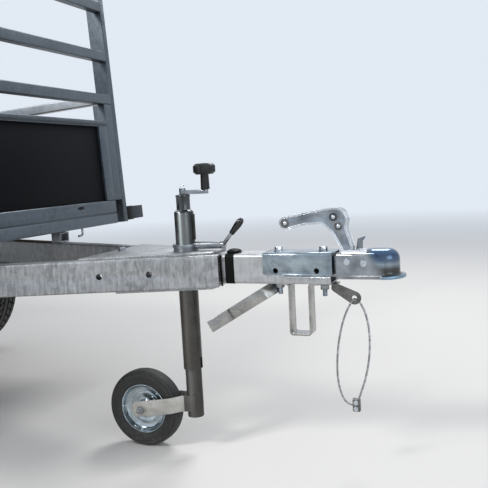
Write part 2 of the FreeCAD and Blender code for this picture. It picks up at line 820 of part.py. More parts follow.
def couplingHandle():
    # A lever pressed from sheet: a channel along a chain of round places, open along its underside.
    s = sheet
    # Each place: x, z, radius. The places stand over the head's top.
    top = s.head_top
    places = [
        (-s.tail_reach, top + s.tail_rise, s.tail_radius), (-s.step_reach, top + s.step_rise, s.step_radius),
        (-s.waist_reach, top + s.waist_rise, s.waist_radius), (-s.elbow_reach, top + s.elbow_rise, s.elbow_radius),
        (-s.knee_reach, top + s.knee_rise, s.knee_radius), (-s.foot_reach, top + s.foot_rise, s.foot_radius)]
    half = s.handle_width / 2
    lever = chain(places, -half, s.handle_width)
    inner_width = s.handle_width - 2 * s.handle_wall
    lever = lever.cut(chain(places, -half + s.handle_wall, inner_width, s.handle_wall))
    open_side = (-2 * s.handle_wall, -3 * s.handle_wall)
    lever = lever.cut(chain(places, -half + s.handle_wall, inner_width, s.handle_wall, open_side))
    for face in (-half - s.cut_past, half - s.handle_sink):
        lever = lever.cut(chain(places, face, s.handle_sink + s.cut_past, s.handle_rim))
    tab = Part.makeBox(s.tab_length, s.handle_wall, s.tab_drop + s.handle_rim,
                       V(-s.tab_back, half - s.handle_wall, top + s.waist_rise - s.waist_radius - s.tab_drop))
    bosses = [tab]
    pins = ((s.tail_reach, s.tail_rise), (s.pivot_reach, s.pivot_rise), (s.stop_reach, s.stop_rise))
    for reach, rise in pins:
        bosses.append(Part.makeCylinder(s.boss_radius, s.handle_width + 2 * s.boss_stand,
                                        V(-reach, -half - s.boss_stand, top + rise), V(0, 1, 0)))
    lever = lever.fuse(bosses)
    below = Part.makeBox(s.foot_reach, s.handle_width, s.head_top, V(-1.5 * s.foot_reach, -half, s.seat_gap))
    node("coupling_handle", shaped(lever.cut(below).removeSplitter()), FreeCAD.Placement())


# Brackets and cable

def plugHoop():
    # A strip folded to a U under the tube, its feet turned out and bolted up.
    s = sheet
    top = -s.tube_side / 2 - s.seat_gap
    t = s.hoop_strip
    back = -s.hoop_back
    front = -s.hoop_front
    low = -s.hoop_depth
    hoop = flatForm([
        (back - s.hoop_foot, top, 0), (back + t, top, 2 * t), (back + t, low + t, t),
        (front - t, low + t, t), (front - t, top, 2 * t), (front + s.hoop_foot, top, 0),
        (front + s.hoop_foot, top - t, 0), (front, top - t, t), (front, low, 2 * t),
        (back, low, 2 * t), (back, top - t, t), (back - s.hoop_foot, top - t, 0)],
        -s.hoop_width / 2, s.hoop_width)
    node("plug_hoop", shaped(hoop), FreeCAD.Placement())


def bentStrap():
    # A flat bar that hangs from the tube. It turns away at its root, steps at a crease and curls.
    s = sheet
    # Local X runs down the bar, local Y is the trailer's own and local Z lies across the bar.
    corners = [
        (V(-s.strap_root, s.strap_turn, 0), 0), (V(0, 0, 0), s.strap_bend), (V(s.strap_crease, 0, 0), s.strap_strip),
        (V(s.strap_crease + 2 * s.strap_step, s.strap_step, 0), s.strap_strip),
        (V(s.strap_crease + 8 * s.strap_step, s.strap_step, 0), 5 * s.strap_bend),
        (V(s.strap_length, s.strap_step - s.strap_curl, 0), 0)]
    path = bentLine(corners, False)
    start = corners[0][0]
    way = (corners[1][0] - start).normalize()
    side = way.cross(V(0, 0, 1)) * (s.strap_strip / 2)
    up = V(0, 0, s.strap_width / 2)
    ends = [start + side + up, start - side + up, start - side - up, start + side - up]
    bar = path.makePipeShell([Part.makePolygon(ends + ends[:1])], True, False)
    fall = math.radians(s.strap_fall)
    down = V(-math.cos(fall), 0, -math.sin(fall))
    turn = FreeCAD.Rotation(down, V(0, 1, 0), down.cross(V(0, 1, 0)), "XYZ")
    bar.Placement = FreeCAD.Placement(V(-s.strap_reach, -s.strap_side, -s.strap_drop), turn)
    above = Part.makeBox(s.strap_length, s.tube_side, s.tube_side,
                         V(-s.strap_reach - s.strap_length / 2, -s.tube_side / 2, -s.tube_side / 2 - s.seat_gap))
    node("bent_strap", shaped(bar.cut(above)), FreeCAD.Placement())


def cableEar():
    # An upright ear under the head, with the hole that the safety cable passes through.
    s = sheet
    top = -s.tube_side / 2 - s.seat_gap
    root = (-s.ear_root_reach, top - s.ear_root_radius - s.ear_foot_thickness / 2, s.ear_root_radius)
    boss = (-s.ear_hole_reach, -s.ear_hole_drop, s.ear_boss_radius)
    ear = link(root, boss, -s.ear_thickness / 2, s.ear_thickness)
    hole = Part.makeCylinder(s.ear_hole_radius, s.ear_thickness + 2 * s.cut_past,
                             V(-s.ear_hole_reach, -s.ear_thickness / 2 - s.cut_past, -s.ear_hole_drop), V(0, 1, 0))
    foot = Part.makeBox(s.ear_foot_length, s.ear_foot_width, s.ear_foot_thickness,
                        V(-s.ear_foot_back, -s.ear_foot_width / 2, top - s.ear_foot_thickness))
    node("cable_ear", shaped(ear.cut(hole).fuse(foot).removeSplitter()), FreeCAD.Placement())


# The cable's route: up one strand, through the ear, down the other.
cableRoute = [
    (-76, 0, -322), (-94, -2, -320), (-107, -4, -300), (-114, -7, -266), (-114.5, -9, -226), (-110, -10, -180),
    (-101, -11, -138), (-90, -12, -105), (-78, -13, -82), (-70, 0, -69.5), (-62, 13, -81), (-50, 12, -103),
    (-41.5, 10, -138), (-40, 8, -182), (-44.5, 5, -226), (-54, 2, -266), (-65, 1, -296), (-71, 0, -314)]


def eased(route):
    # The route's points with the radius of each turn, as large as its two runs allow.
    points = [V(*p) for p in route]
    radii = [0]
    for before, corner, after in zip(points, points[1:], points[2:]):
        half_turn = (corner - before).getAngle(after - corner) / 2
        reach = 0.45 * min((corner - before).Length, (after - corner).Length)
        radii.append(reach / math.tan(half_turn))
    return list(zip(route, radii + [0]))


def safetyCable():
    path = bentLine([(V(*point), radius) for point, radius in eased(cableRoute)], False)
    start = V(*cableRoute[0])
    heading = V(*cableRoute[1]) - start
    ring = Part.Wire(Part.makeCircle(sheet.cable_radius, start, heading))
    tube = path.makePipeShell([ring], True, False)
    expected = math.pi * sheet.cable_radius ** 2 * path.Length
    print("cable radii", [round(radius, 1) for point, radius in eased(cableRoute)])
    print("cable length %.1f, volume over section times length %.4f" % (path.Length, tube.Volume / expected))
    node("safety_cable", shaped(tube), FreeCAD.Placement())


def cableClip():
    # The ferrule crimped on both ends of the cable.
    node("cable_clip", group(box("-clip_reach - clip_width / 2", "-clip_depth / 2", "-clip_low",
                                 "clip_width", "clip_depth", "clip_height")))


# Jockey wheel

def jockeyClamp():
    # A split shell round the tube, a lock screw through its boss, and a short lever.
    radius = "(jockey_tube_radius + slide_gap)"
    height = "(clamp_low + clamp_high)"
    shell = rod("%s + clamp_shell" % radius, height, "-jockey_reach", "0", "-clamp_low")
    collar = rod("%s + clamp_shell + collar_stand" % radius, "collar_height", "-jockey_reach", "0", "clamp_high")
    boss = rod("lever_boss_radius", "jockey_reach - lever_boss_reach",
               "-jockey_reach", "0", "lever_boss_height", alongX)
    bore = rod(radius, "%s + 2 * collar_height" % height, "-jockey_reach", "0", "-clamp_low - cut_past")
    split = box("-jockey_reach - 2 * jockey_tube_radius", "-clamp_split / 2", "-clamp_low - cut_past",
                "2 * jockey_tube_radius", "clamp_split", "%s + 2 * collar_height" % height)
    node("jockey_clamp", cut(fuse(shell, collar, boss), bore, split))
    s = sheet
    face = V(-s.lever_boss_reach + s.seat_gap, 0, s.lever_boss_height)
    foot = face + V(s.lever_washer / 2, 0, 0)
    run = V(s.lever_run, 0, s.lever_rise)
    stem = Part.makeCylinder(s.lever_radius, run.Length, foot, run)
    washer = Part.makeCylinder(s.lever_boss_radius, s.lever_washer, face, V(1, 0, 0))
    node("clamp_lever", shaped(stem.fuse(washer).removeSplitter()), FreeCAD.Placement())

    # The grip is widest beyond its middle and closed at its tip.
    grip = body("grip")
    bore = "(lever_radius + running_gap)"
    blind = "(sqrt(lever_run * lever_run + lever_rise * lever_rise) - lever_grip_start + seat_gap)"
    outline = sketch(grip, "XZ_Plane", [
        (bore, "0"), ("lever_grip_radius * 0.7", "0"), ("lever_grip_radius", "lever_grip_length * 0.6"),
        ("lever_grip_radius * 0.9", "lever_grip_length * 0.85"), ("lever_grip_radius * 0.5", "lever_grip_length"),
        ("0", "lever_grip_length"), ("0", blind), (bore, blind)])
    revolve(grip, outline)
    way = V(run).normalize()
    turn = FreeCAD.Rotation(V(0, 0, 1), way)
    node("lever_grip", grip, FreeCAD.Placement(foot + way * s.lever_grip_start, turn))


def jockeyTube():
    # The outer tube slides in the clamp. A notch at its foot locks the swivel when wound up,
    # and a rib up its front keeps it from turning.
    height = "(jockey_tube_top + jockey_tube_low)"
    tube = rod("jockey_tube_radius", height, "-jockey_reach", "0", "-jockey_tube_low")
    rib = box("-jockey_reach", "-rib_width / 2", "rib_low",
              "jockey_tube_radius + rib_stand", "rib_width", "jockey_tube_top - rib_low - rib_stand")
    bore = rod("jockey_tube_radius - jockey_tube_wall", height + " + 2 * cut_past",
               "-jockey_reach", "0", "-jockey_tube_low - cut_past")
    notch = box("-jockey_reach", "-jockey_notch_width / 2", "-jockey_tube_low - cut_past",
                "2 * jockey_tube_radius", "jockey_notch_width", "jockey_notch_height")
    node("jockey_outer_tube", cut(fuse(tube, rib), bore, notch))


def jockeyCap():
    # A turned cap with a flange at its foot and a ring at its head.
    owner = body("cap")
    outline = sketch(owner, "XZ_Plane", [
        ("0", "0"), ("jockey_tube_radius", "0"), ("jockey_tube_radius - 1", "cap_flange_height / 2"),
        ("cap_flange", "cap_flange_height"), ("cap_radius - 1", "cap_flange_height + 2"),
        ("cap_radius - 1", "cap_height - cap_ring - 1"), ("cap_radius", "cap_height - cap_ring"),
        ("cap_radius", "cap_height - 2"), ("cap_radius - 2", "cap_height"), ("0", "cap_height")])
    revolve(owner, outline)
    place(owner, "-jockey_reach", "0", "jockey_tube_top + seat_gap")
    node("jockey_cap", owner)


def jockeyCrank():
    # A flat arm on the spindle and an upright stem that carries the knob.
    level = "(jockey_tube_top + seat_gap + cap_height + seat_gap)"
    arm = box("-jockey_reach - crank_width / 2", "-crank_width / 2", level,
              "crank_reach + crank_width", "crank_width", "crank_thickness")
    arm = blended(arm, 0.45 * sheet.crank_width, runsZ)
    stem = rod("crank_thickness / 2", "knob_stem_height + crank_thickness",
               "-jockey_reach + crank_reach", "0", level)
    boss = rod("crank_boss_radius", "crank_thickness + crank_boss_height", "-jockey_reach", "0", level)
    node("jockey_crank", fuse(arm, stem, boss))


def crankKnob():
    # A lobed hand knob on a long hub: one turned form with flutes cut round its head.
    hub = body("knob")
    bore = "(crank_thickness / 2 + running_gap)"
    top = "(knob_stem_height + knob_height)"
    outline = sketch(hub, "XZ_Plane", [
        (bore, "0"), ("knob_stem_radius", "0"), ("knob_stem_radius - 1", "knob_stem_height"),
        ("knob_radius - knob_edge", "knob_stem_height"), ("knob_radius", "knob_stem_height + knob_edge"),
        ("knob_radius", top + " - knob_edge"), ("knob_radius - knob_edge", top), ("0", top + " + 1"),
        ("0", "knob_stem_height + crank_thickness"), (bore, "knob_stem_height + crank_thickness")])
    revolve(hub, outline)
    flutes = []
    for i in range(int(sheet.knob_lobe_count)):
        turn = "%d * 360 / knob_lobe_count" % i
        flutes.append(rod("knob_flute_radius", "2 * knob_height",
                          "(knob_radius + knob_flute_radius / 2) * cos(%s)" % turn,
                          "(knob_radius + knob_flute_radius / 2) * sin(%s)" % turn, "knob_stem_height - cut_past"))
    knob = cut(hub, *flutes)
    s = sheet
    level = s.jockey_tube_top + 3 * s.seat_gap + s.cap_height + s.crank_thickness
    node("crank_knob", knob, FreeCAD.Placement(V(-s.jockey_reach + s.crank_reach, 0, level), FreeCAD.Rotation()))


def jockeyLeg():
    # The inner tube with its fork. A cheek is a strip bent as seen from above, cut to its outline
    # seen from the side.
    radius = "(jockey_tube_radius - jockey_tube_wall - running_gap)"
    height = "(jockey_leg_low - jockey_tube_low + jockey_leg_lap)"
    tube = rod(radius, height, "-jockey_reach", "0", "-jockey_leg_low")
    bore = rod(radius + " - jockey_leg_wall", height, "-jockey_reach", "0", "-jockey_leg_low + jockey_leg_wall")
    s = sheet
    t = s.fork_strip
    inner = s.jockey_tube_radius - s.jockey_tube_wall - s.running_gap - t / 2
    axis = -s.jockey_reach
    front = axis + s.fork_lead
    bend_front = axis - s.fork_bend_front
    bend_back = axis - s.fork_bend_back
    hub = axis - s.jockey_trail
    tail = hub - s.fork_tail
    hub_level = -s.ball_height + s.jockey_wheel_radius
    low = -s.ball_height
    bend = 4 * t
    lean = math.atan2(s.fork_gap - inner, bend_front - bend_back)
    shift = t * math.tan(lean / 2)
    plan = [
        (V(front, inner, low), 0), (V(bend_front, inner, low), bend + t), (V(bend_back, s.fork_gap, low), bend),
        (V(tail, s.fork_gap, low), 0), (V(tail, s.fork_gap + t, low), 0),
        (V(bend_back + shift, s.fork_gap + t, low), bend + t), (V(bend_front + shift, inner + t, low), bend),
        (V(front, inner + t, low), 0)]
    strip = Part.Face(bentLine(plan, True)).extrude(V(0, 0, s.ball_height))
    half = s.fork_height / 2
    middle = hub_level + s.fork_fall
    outline = flatForm([
        (front, middle + half, 0), (bend_front, middle + half - t, 2 * half),
        (tail, hub_level + half, s.fork_end_radius), (tail, hub_level - half, s.fork_end_radius),
        (bend_front, middle - half - t, 2 * half),
        (front, middle - half, 0)], 0, 2 * s.fork_gap)
    pin_hole = Part.makeCylinder(s.jockey_pin_radius + s.seat_gap, 2 * s.fork_gap,
                                 V(hub, 0, hub_level), V(0, 1, 0))
    cheek = strip.common(outline).cut(pin_hole)
    node("jockey_leg", fuse(cut(tube, bore), shaped(mirrored(cheek))))
    outside = s.fork_gap + t + s.seat_gap
    tip = outside + 2 * s.jockey_nut_height
    pin = Part.makeCylinder(s.jockey_pin_radius, 2 * tip, V(hub, -tip, hub_level), V(0, 1, 0))
    for side in (-1, 1):
        corners = []
        for i in range(6):
            turn = math.radians(60 * i)
            corners.append(V(hub + s.jockey_nut_radius * math.cos(turn), side * outside,
                             hub_level + s.jockey_nut_radius * math.sin(turn)))
        nut = Part.Face(Part.makePolygon(corners + corners[:1])).extrude(V(0, side * s.jockey_nut_height, 0))
        pin = pin.fuse(nut)
    node("jockey_axle_pin", shaped(pin.removeSplitter()), FreeCAD.Placement())


def turned(corners):
    # A form turned about the local Y axis from corners in its half plane: (radius, y, arc) each.
    outline = bentLine([(V(radius, y, 0), arc) for radius, y, arc in corners], True)
    return Part.Face(outline).revolve(V(), V(0, 1, 0), 360)


def jockeyWheel():
    s = sheet
    half = s.jockey_wheel_width / 2
    shoulder = s.jockey_shoulder
    tyre = turned([
        (s.jockey_rim_radius, -s.jockey_rim_half, 0), (s.jockey_wheel_radius - shoulder, -half, 0),
        (s.jockey_wheel_radius, -half + shoulder, shoulder), (s.jockey_wheel_radius, half - shoulder, shoulder),
        (s.jockey_wheel_radius - shoulder, half, 0), (s.jockey_rim_radius, s.jockey_rim_half, 0)])
    edge = s.jockey_rim_radius - s.seat_gap
    dish = edge - 2 * s.jockey_rim_dish
    bore = s.jockey_pin_radius + s.running_gap
    lip = s.jockey_rim_half
    hub = s.jockey_hub_half
    rim = turned([
        (bore, -hub, 0), (s.jockey_hub_radius, -hub, 0), (s.jockey_hub_radius, -s.jockey_rim_dish, 0),
        (dish, -s.jockey_rim_dish, 0), (edge - s.jockey_rim_dish, -lip, 0), (edge, -lip, 0), (edge, lip, 0),
        (edge - s.jockey_rim_dish, lip, 0), (dish, s.jockey_rim_dish, 0),
        (s.jockey_hub_radius, s.jockey_rim_dish, 0),
        (s.jockey_hub_radius, hub, 0), (bore, hub, 0)])
    frame = wheelFrame(s.jockey_reach + s.jockey_trail, 1, -s.ball_height + s.jockey_wheel_radius)
    node("jockey_tyre", shaped(tyre), frame)
    node("jockey_rim", shaped(rim), frame)


# Axle

def axleBeam():
    beam = doc.addObject("Part::Prism", "beam")
    beam.Polygon = 6
    bind(beam, Circumradius="beam_radius", Height="2 * beam_half_length")
    place(beam, "-beam_reach", "-beam_half_length", "-beam_drop", alongY)
    node("axle_beam", beam)


def axleSaddles():
    # Blocks between the beam and the drawbar arms.
    s = sheet
    x = -s.beam_reach
    beam_top = -s.beam_drop + s.beam_half_flat
    outer = s.arm_end_half - s.arm_past * math.tan(math.radians(s.arm_angle))
    middle = outer - s.arm_width / 2 / math.cos(math.radians(s.arm_angle))
    saddles = []
    for side in (-1, 1):
        corner = V(x - s.saddle_length / 2, side * middle - s.saddle_width / 2, beam_top + s.seat_gap)
        saddles.append(Part.makeBox(s.saddle_length, s.saddle_width, s.saddle_rise - 2 * s.seat_gap, corner))
    node("axle_saddles", shaped(Part.makeCompound(saddles)), FreeCAD.Placement())


def hangerPlates():
    # Plates that stand on the beam's flat and meet the sill's underside.
    s = sheet
    x = -s.beam_reach
    pitch = math.radians(s.bed_pitch)
    beam_top = -s.beam_drop + s.beam_half_flat + s.seat_gap
    foot = s.hanger_foot / 2
    plates = []
    for side in (-1, 1):
        y = side * (s.bed_half_width - s.sill_width / 2 - s.hanger_inset) - s.hanger_thickness / 2
        tops = []
        for along in (-s.hanger_length / 2, s.hanger_length / 2):
            behind = -(x + along) - s.wall_reach
            tops.append(s.bed_rise - behind * math.tan(pitch) - s.seat_gap / math.cos(pitch))
        plates.append(flatForm([
            (x - foot, beam_top, 0), (x - s.hanger_length / 2, tops[0], 0),
            (x + s.hanger_length / 2, tops[1], 0), (x + foot, beam_top, 0)], y, s.hanger_thickness))
    node("axle_hangers", shaped(Part.makeCompound(plates)), FreeCAD.Placement())


def suspensionArms():
    # A trailing arm on each end of the beam, with the stub that carries the hub.
    s = sheet
    beam = (-s.beam_reach, -s.beam_drop, s.beam_radius + s.suspension_eye)
    stub = (-s.axle_reach, -s.ball_height + s.wheel_radius, s.stub_radius + s.stub_eye)
    inner = s.beam_half_length + s.seat_gap
    spindle = s.track_half + s.disc_offset - s.hub_flange_thickness - inner
    arm = link(beam, stub, inner, s.suspension_thickness)
    arm = arm.fuse(Part.makeCylinder(s.stub_radius, spindle, V(stub[0], inner, stub[1]), V(0, 1, 0)))
    node("suspension_arms", shaped(mirrored(arm.removeSplitter())), FreeCAD.Placement())


def roadWheel(suffix, side):
    # Hub, pressed disc in a drop-centre rim, and tyre: three turned forms on one axis.
    frame = wheelFrame(sheet.axle_reach, side, -sheet.ball_height + sheet.wheel_radius)
    face = "(track_half + disc_offset)"
    hub = body("hub_body")
    bore = "stub_radius + running_gap"
    outline = sketch(hub, "XY_Plane", [
        (bore, "hub_inner_half"), ("hub_radius", "hub_inner_half"),
        ("hub_radius", face + " - hub_flange_thickness"), ("hub_flange_radius", face + " - hub_flange_thickness"),
        ("hub_flange_radius", face), ("cap_dome_radius", face),
        ("cap_dome_radius - 2", face + " + cap_dome_length - cap_dome_edge"),
        ("cap_dome_radius - cap_dome_edge", face + " + cap_dome_length"),
        ("0", face + " + cap_dome_length"), ("0", face + " - hub_flange_thickness / 2"),
        (bore, face + " - hub_flange_thickness / 2")])
    revolve(hub, outline)
    node("wheel_hub_" + suffix, hub, frame)

    # The rim's section: inside from the hub out to the well, then back along the outside.
    rim = body("rim_body")
    inner_edge = "(track_half - rim_width / 2)"
    outer_edge = "(track_half + rim_width / 2)"
    seat = "(rim_radius - rim_wall)"
    well = "(rim_radius - rim_wall - rim_well_depth)"
    well_in = "(track_half + rim_well_place - rim_well_half)"
    well_out = "(track_half + rim_well_place + rim_well_half)"
    plate = face + " + seat_gap"
    swell = "(disc_hole_ring - 2 * disc_hole_radius)"
    bowl = "(disc_hole_ring + 2 * disc_hole_radius)"
    outline = sketch(rim, "XY_Plane", [
        ("cap_dome_radius + seat_gap", plate), ("hub_flange_radius", plate), (swell, plate + " + disc_swell"),
        (bowl, plate + " - disc_thickness"), (well, well_out), (well, well_in),
        (seat, well_in + " - rim_well_slope"), (seat, inner_edge), ("rim_radius + rim_flange", inner_edge),
        ("rim_radius + rim_flange", inner_edge + " + rim_wall"), ("rim_radius", inner_edge + " + rim_wall"),
        ("rim_radius", well_in + " - rim_well_slope + rim_wall / 2"),
        (well + " + rim_wall", well_in + " + rim_wall / 2"),
        (well + " + rim_wall", well_out), ("rim_radius", well_out + " + rim_well_slope"),
        ("rim_radius", outer_edge + " - rim_wall"), ("rim_radius + rim_flange", outer_edge + " - rim_wall"),
        ("rim_radius + rim_flange", outer_edge), (seat, outer_edge),
        (seat, well_out + " + rim_well_slope + rim_wall / 2"), (well, well_out + " + disc_swell"),
        (bowl, plate), (swell, plate + " + disc_swell + disc_thickness"),
        ("hub_flange_radius", plate + " + disc_thickness"),
        ("cap_dome_radius + seat_gap", plate + " + disc_thickness")])
    revolve(rim, outline)
    vents = []
    for i in range(int(sheet.disc_hole_count)):
        turn = 2 * math.pi * i / sheet.disc_hole_count
        at = V(sheet.disc_hole_ring * math.cos(turn), sheet.track_half, sheet.disc_hole_ring * math.sin(turn))
        vents.append(Part.makeCylinder(sheet.disc_hole_radius, sheet.rim_width, at, V(0, 1, 0)))
    node("wheel_rim_" + suffix, cut(rim, shaped(Part.makeCompound(vents))), frame)

    tyre = body("tyre_body")
    outline = []
    for sign in ("-", "+"):
        # Bead, flank and shoulder, from the rim to the tread.
        flange = "track_half %s (rim_width / 2 - rim_wall - seat_gap)" % sign
        side_wall = "track_half %s wheel_width / 2" % sign
        dip = " %s tyre_shoulder" % ("+" if sign == "-" else "-")
        half_section = [
            ("rim_radius + seat_gap", flange), ("rim_radius + rim_flange + seat_gap", flange),
            ("wheel_radius - tyre_bulge", side_wall), ("wheel_radius - tyre_shoulder", side_wall + dip + " / 10"),
            ("wheel_radius - tyre_shoulder * 0.3", side_wall + dip + " * 0.35"), ("wheel_radius", side_wall + dip)]
        outline += half_section if sign == "-" else half_section[::-1]
    revolve(tyre, sketch(tyre, "XY_Plane", outline))
    node("tyre_" + suffix, tyre, frame)


def mudguard(name, side):
    # A moulded arch over the wheel, open below, with a lip round its outer edge.
    s = sheet
    inner = s.wheel_radius + s.guard_gap
    outer = inner + s.guard_wall
    low = s.wall_half + s.guard_inset
    high = low + s.guard_width
    section = bentLine([
        (V(inner, low, 0), 0), (V(outer, low, 0), 0), (V(outer, high, 0), s.guard_round),
        (V(inner - s.guard_lip, high, 0), 0), (V(inner - s.guard_lip, high - s.guard_wall, 0), 0),
        (V(inner, high - s.guard_wall, 0), s.guard_round - s.guard_wall)], True)
    arch = Part.Face(section).revolve(V(), V(0, 1, 0), s.guard_sweep)
    upright = FreeCAD.Placement(V(), FreeCAD.Rotation(V(0, 1, 0), -s.guard_sweep / 2))
    frame = wheelFrame(s.axle_reach, side, -s.ball_height + s.wheel_radius)
    node(name, shaped(arch), frame.multiply(upright))


def guardStruts():
    # Flat bars under each mudguard, from the sill outwards, that carry it.
    s = sheet
    bars = []
    centre = V(-s.axle_reach, 0, -s.ball_height + s.wheel_radius)
    low = s.bed_half_width + s.seat_gap
    length = s.side_outset + s.guard_inset + s.guard_width - s.guard_strut_short
    radius = s.wheel_radius + s.guard_gap - s.guard_strut_thickness - s.seat_gap
    half = s.guard_strut_width / 2
    for side in (-1, 1):
        for lean in (-1, 1):
            turn = FreeCAD.Rotation(V(0, 1, 0), lean * s.guard_strut_angle)
            up = turn.multVec(V(0, 0, 1))
            bar = Part.makeBox(s.guard_strut_width, length, s.guard_strut_thickness, V(-half, 0, 0))
            sag = radius - math.sqrt(radius ** 2 - half ** 2)
            start = centre + up * (radius - sag) + V(0, low if side > 0 else -low - length, 0)
            bar.Placement = FreeCAD.Placement(start, turn)
            bars.append(bar)
    node("mudguard_struts", shaped(Part.makeCompound(bars)), FreeCAD.Placement())


# Load bed. Its frame's X is along the bed, ahead is positive, and the front wall's face is at 0.

def crossRail(front):
    # A folded end rail with a groove along its face.
    x = "-rail_depth" if front else "-bed_length"
    outer = box(x, "-rail_end_half", "0", "rail_depth", "2 * rail_end_half", "rail_height")
    outer = blended(outer, sheet.section_corner, lambda way, at: runsY(way, at) and (at.x > 0) == front)
    inner = box(x + (" - cut_past" if front else " + rail_wall"), "-rail_end_half - cut_past", "rail_wall",
                "rail_depth - rail_wall + cut_past", "2 * rail_end_half + 2 * cut_past", "rail_height - 2 * rail_wall")
    face = "-rail_groove_depth" if front else "-bed_length - cut_past"
    groove = box(face, "-rail_end_half - cut_past", "rail_groove_height", "rail_groove_depth + cut_past",
                 "2 * rail_end_half + 2 * cut_past", "rail_groove_width")
    ridge = box("-rail_groove_depth - rail_wall" if front else "-bed_length", "-rail_end_half",
                "rail_groove_height - rail_wall", "rail_groove_depth + rail_wall", "2 * rail_end_half",
                "rail_groove_width + 2 * rail_wall")
    return cut(fuse(cut(outer, inner), ridge), groove)


def endRails():
    slots = twins("-rail_depth / 2", "rail_slot_place - rail_slot_width / 2", "rail_slot_level",
                  "rail_depth", "rail_slot_width", "rail_slot_height")
    node("end_rails", group(cut(crossRail(True), *slots), crossRail(False)), bedFrame())


def sills():
    # Hollow sills along both sides, open at their ends.
    inset = "(post_depth + seat_gap)"
    outer = twins("-bed_length + %s" % inset, "bed_half_width - sill_width", "0",
                  "bed_length - 2 * " + inset, "sill_width", "rail_height")
    hollow = twins("-bed_length", "bed_half_width - sill_width + sill_wall", "sill_wall",
                   "bed_length", "sill_width - 2 * sill_wall", "rail_height - 2 * sill_wall")
    node("side_sills", group(cut(outer[0], hollow[0]), cut(outer[1], hollow[1])), bedFrame())


def floorPanel():
    half = "(bed_half_width - sill_width - seat_gap)"
    board = box("-bed_length + rail_depth + seat_gap", "-" + half, "floor_level",
                "bed_length - 2 * rail_depth - 2 * seat_gap", "2 * " + half, "floor_thickness")
    node("floor_panel", group(board), bedFrame())


def crossBeams():
    # Channels under the floor, open to the rear.
    half = "(bed_half_width - sill_width - seat_gap)"
    beams = []
    for reach in ("beam_first", "beam_second", "beam_third"):
        outer = box("-%s - beam_depth" % reach, "-" + half, "0",
                    "beam_depth", "2 * " + half, "floor_level - seat_gap")
        inner = box("-%s - beam_depth - cut_past" % reach, "-%s - cut_past" % half, "beam_wall",
                    "beam_depth - beam_wall + cut_past", "2 * %s + 2 * cut_past" % half,
                    "floor_level - seat_gap - 2 * beam_wall")
        beams.append(cut(outer, inner))
    node("cross_beams", group(*beams), bedFrame())


def bedBrackets():
    # Folded channels between the drawbar arms and the bed's front rail.
    s = sheet
    x = -s.wall_reach - s.bracket_place
    top = s.bed_rise + (x + s.wall_reach) * math.tan(math.radians(s.bed_pitch)) - s.cut_past
    arm_top = -s.arm_drop + s.arm_height / 2 + s.seat_gap
    outer = s.arm_spread + (-x - s.arm_front) * math.tan(math.radians(s.arm_angle))
    middle = outer - s.arm_width / 2 / math.cos(math.radians(s.arm_angle))
    length, width, wall = s.bracket_length, s.bracket_width, s.bracket_wall
    blocks = []
    for side in (-1, 1):
        block = Part.makeBox(length, width, top - arm_top, V(x - length / 2, side * middle - width / 2, arm_top))
        hole = Part.makeBox(length + 2 * s.cut_past, width - 2 * wall, top - arm_top - 2 * wall,
                            V(x - length / 2 - s.cut_past, side * middle - width / 2 + wall, arm_top + wall))
        blocks.append(block.cut(hole))
    node("bed_brackets", shaped(Part.makeCompound(blocks)), FreeCAD.Placement())


def cornerPosts():
    # Square posts at the four corners, between the end walls and the side walls.
    low = "rail_height + seat_gap"
    inner = "rail_end_half + seat_gap"
    width = "bed_half_width - post_width - rail_end_half - 2 * seat_gap"
    front = twins("-corner_depth", inner, low, "corner_depth", width, "corner_top - rail_height - seat_gap")
    rear = twins("-bed_length", inner, low, "corner_depth", width, "frame_top - rail_height - seat_gap")
    posts = [blended(post, sheet.section_corner, runsZ) for post in front + rear]
    node("corner_posts", group(*posts), bedFrame())


def rackPosts():
    # Tall posts that carry the front rack, and short ones at the rear.
    y = "bed_half_width - post_width"
    front = twins("-post_depth", y, "0", "post_depth", "post_width", "rack_top + rack_rail_height")
    rear = twins("-bed_length", y, "0", "post_depth", "post_width", "side_rail_level + side_rail_height")
    posts = [blended(post, sheet.section_corner, runsZ) for post in front + rear]
    node("rack_posts", group(*posts), bedFrame())


def rackRails():
    half = "(bed_half_width - post_width - seat_gap)"
    rails = []
    for level in ("rack_low", "rack_middle", "rack_high", "rack_top"):
        rail = box("-rack_depth", "-" + half, level, "rack_depth", "2 * " + half, "rack_rail_height")
        rails.append(blended(rail, sheet.section_corner, runsY))
    node("rack_rails", group(*rails), bedFrame())


def endFrame(x):
    # Uprights beside the panel, a top rail over it and the panel itself.
    low = "(rail_height + seat_gap)"
    uprights = twins(x, "panel_half_width + seat_gap", low, "frame_depth",
                     "rail_end_half - panel_half_width - seat_gap", "panel_top - rail_height - seat_gap")
    top = box(x, "-rail_end_half", "panel_top", "frame_depth", "2 * rail_end_half", "frame_top - panel_top")
    return uprights, top


def frontWall():
    uprights, top = endFrame("-frame_depth")
    panel = box("-frame_depth / 2 - panel_thickness / 2", "-panel_half_width", "rail_height + seat_gap",
                "panel_thickness", "2 * panel_half_width", "panel_top - rail_height - 2 * seat_gap")
    return [top, *uprights], [panel]


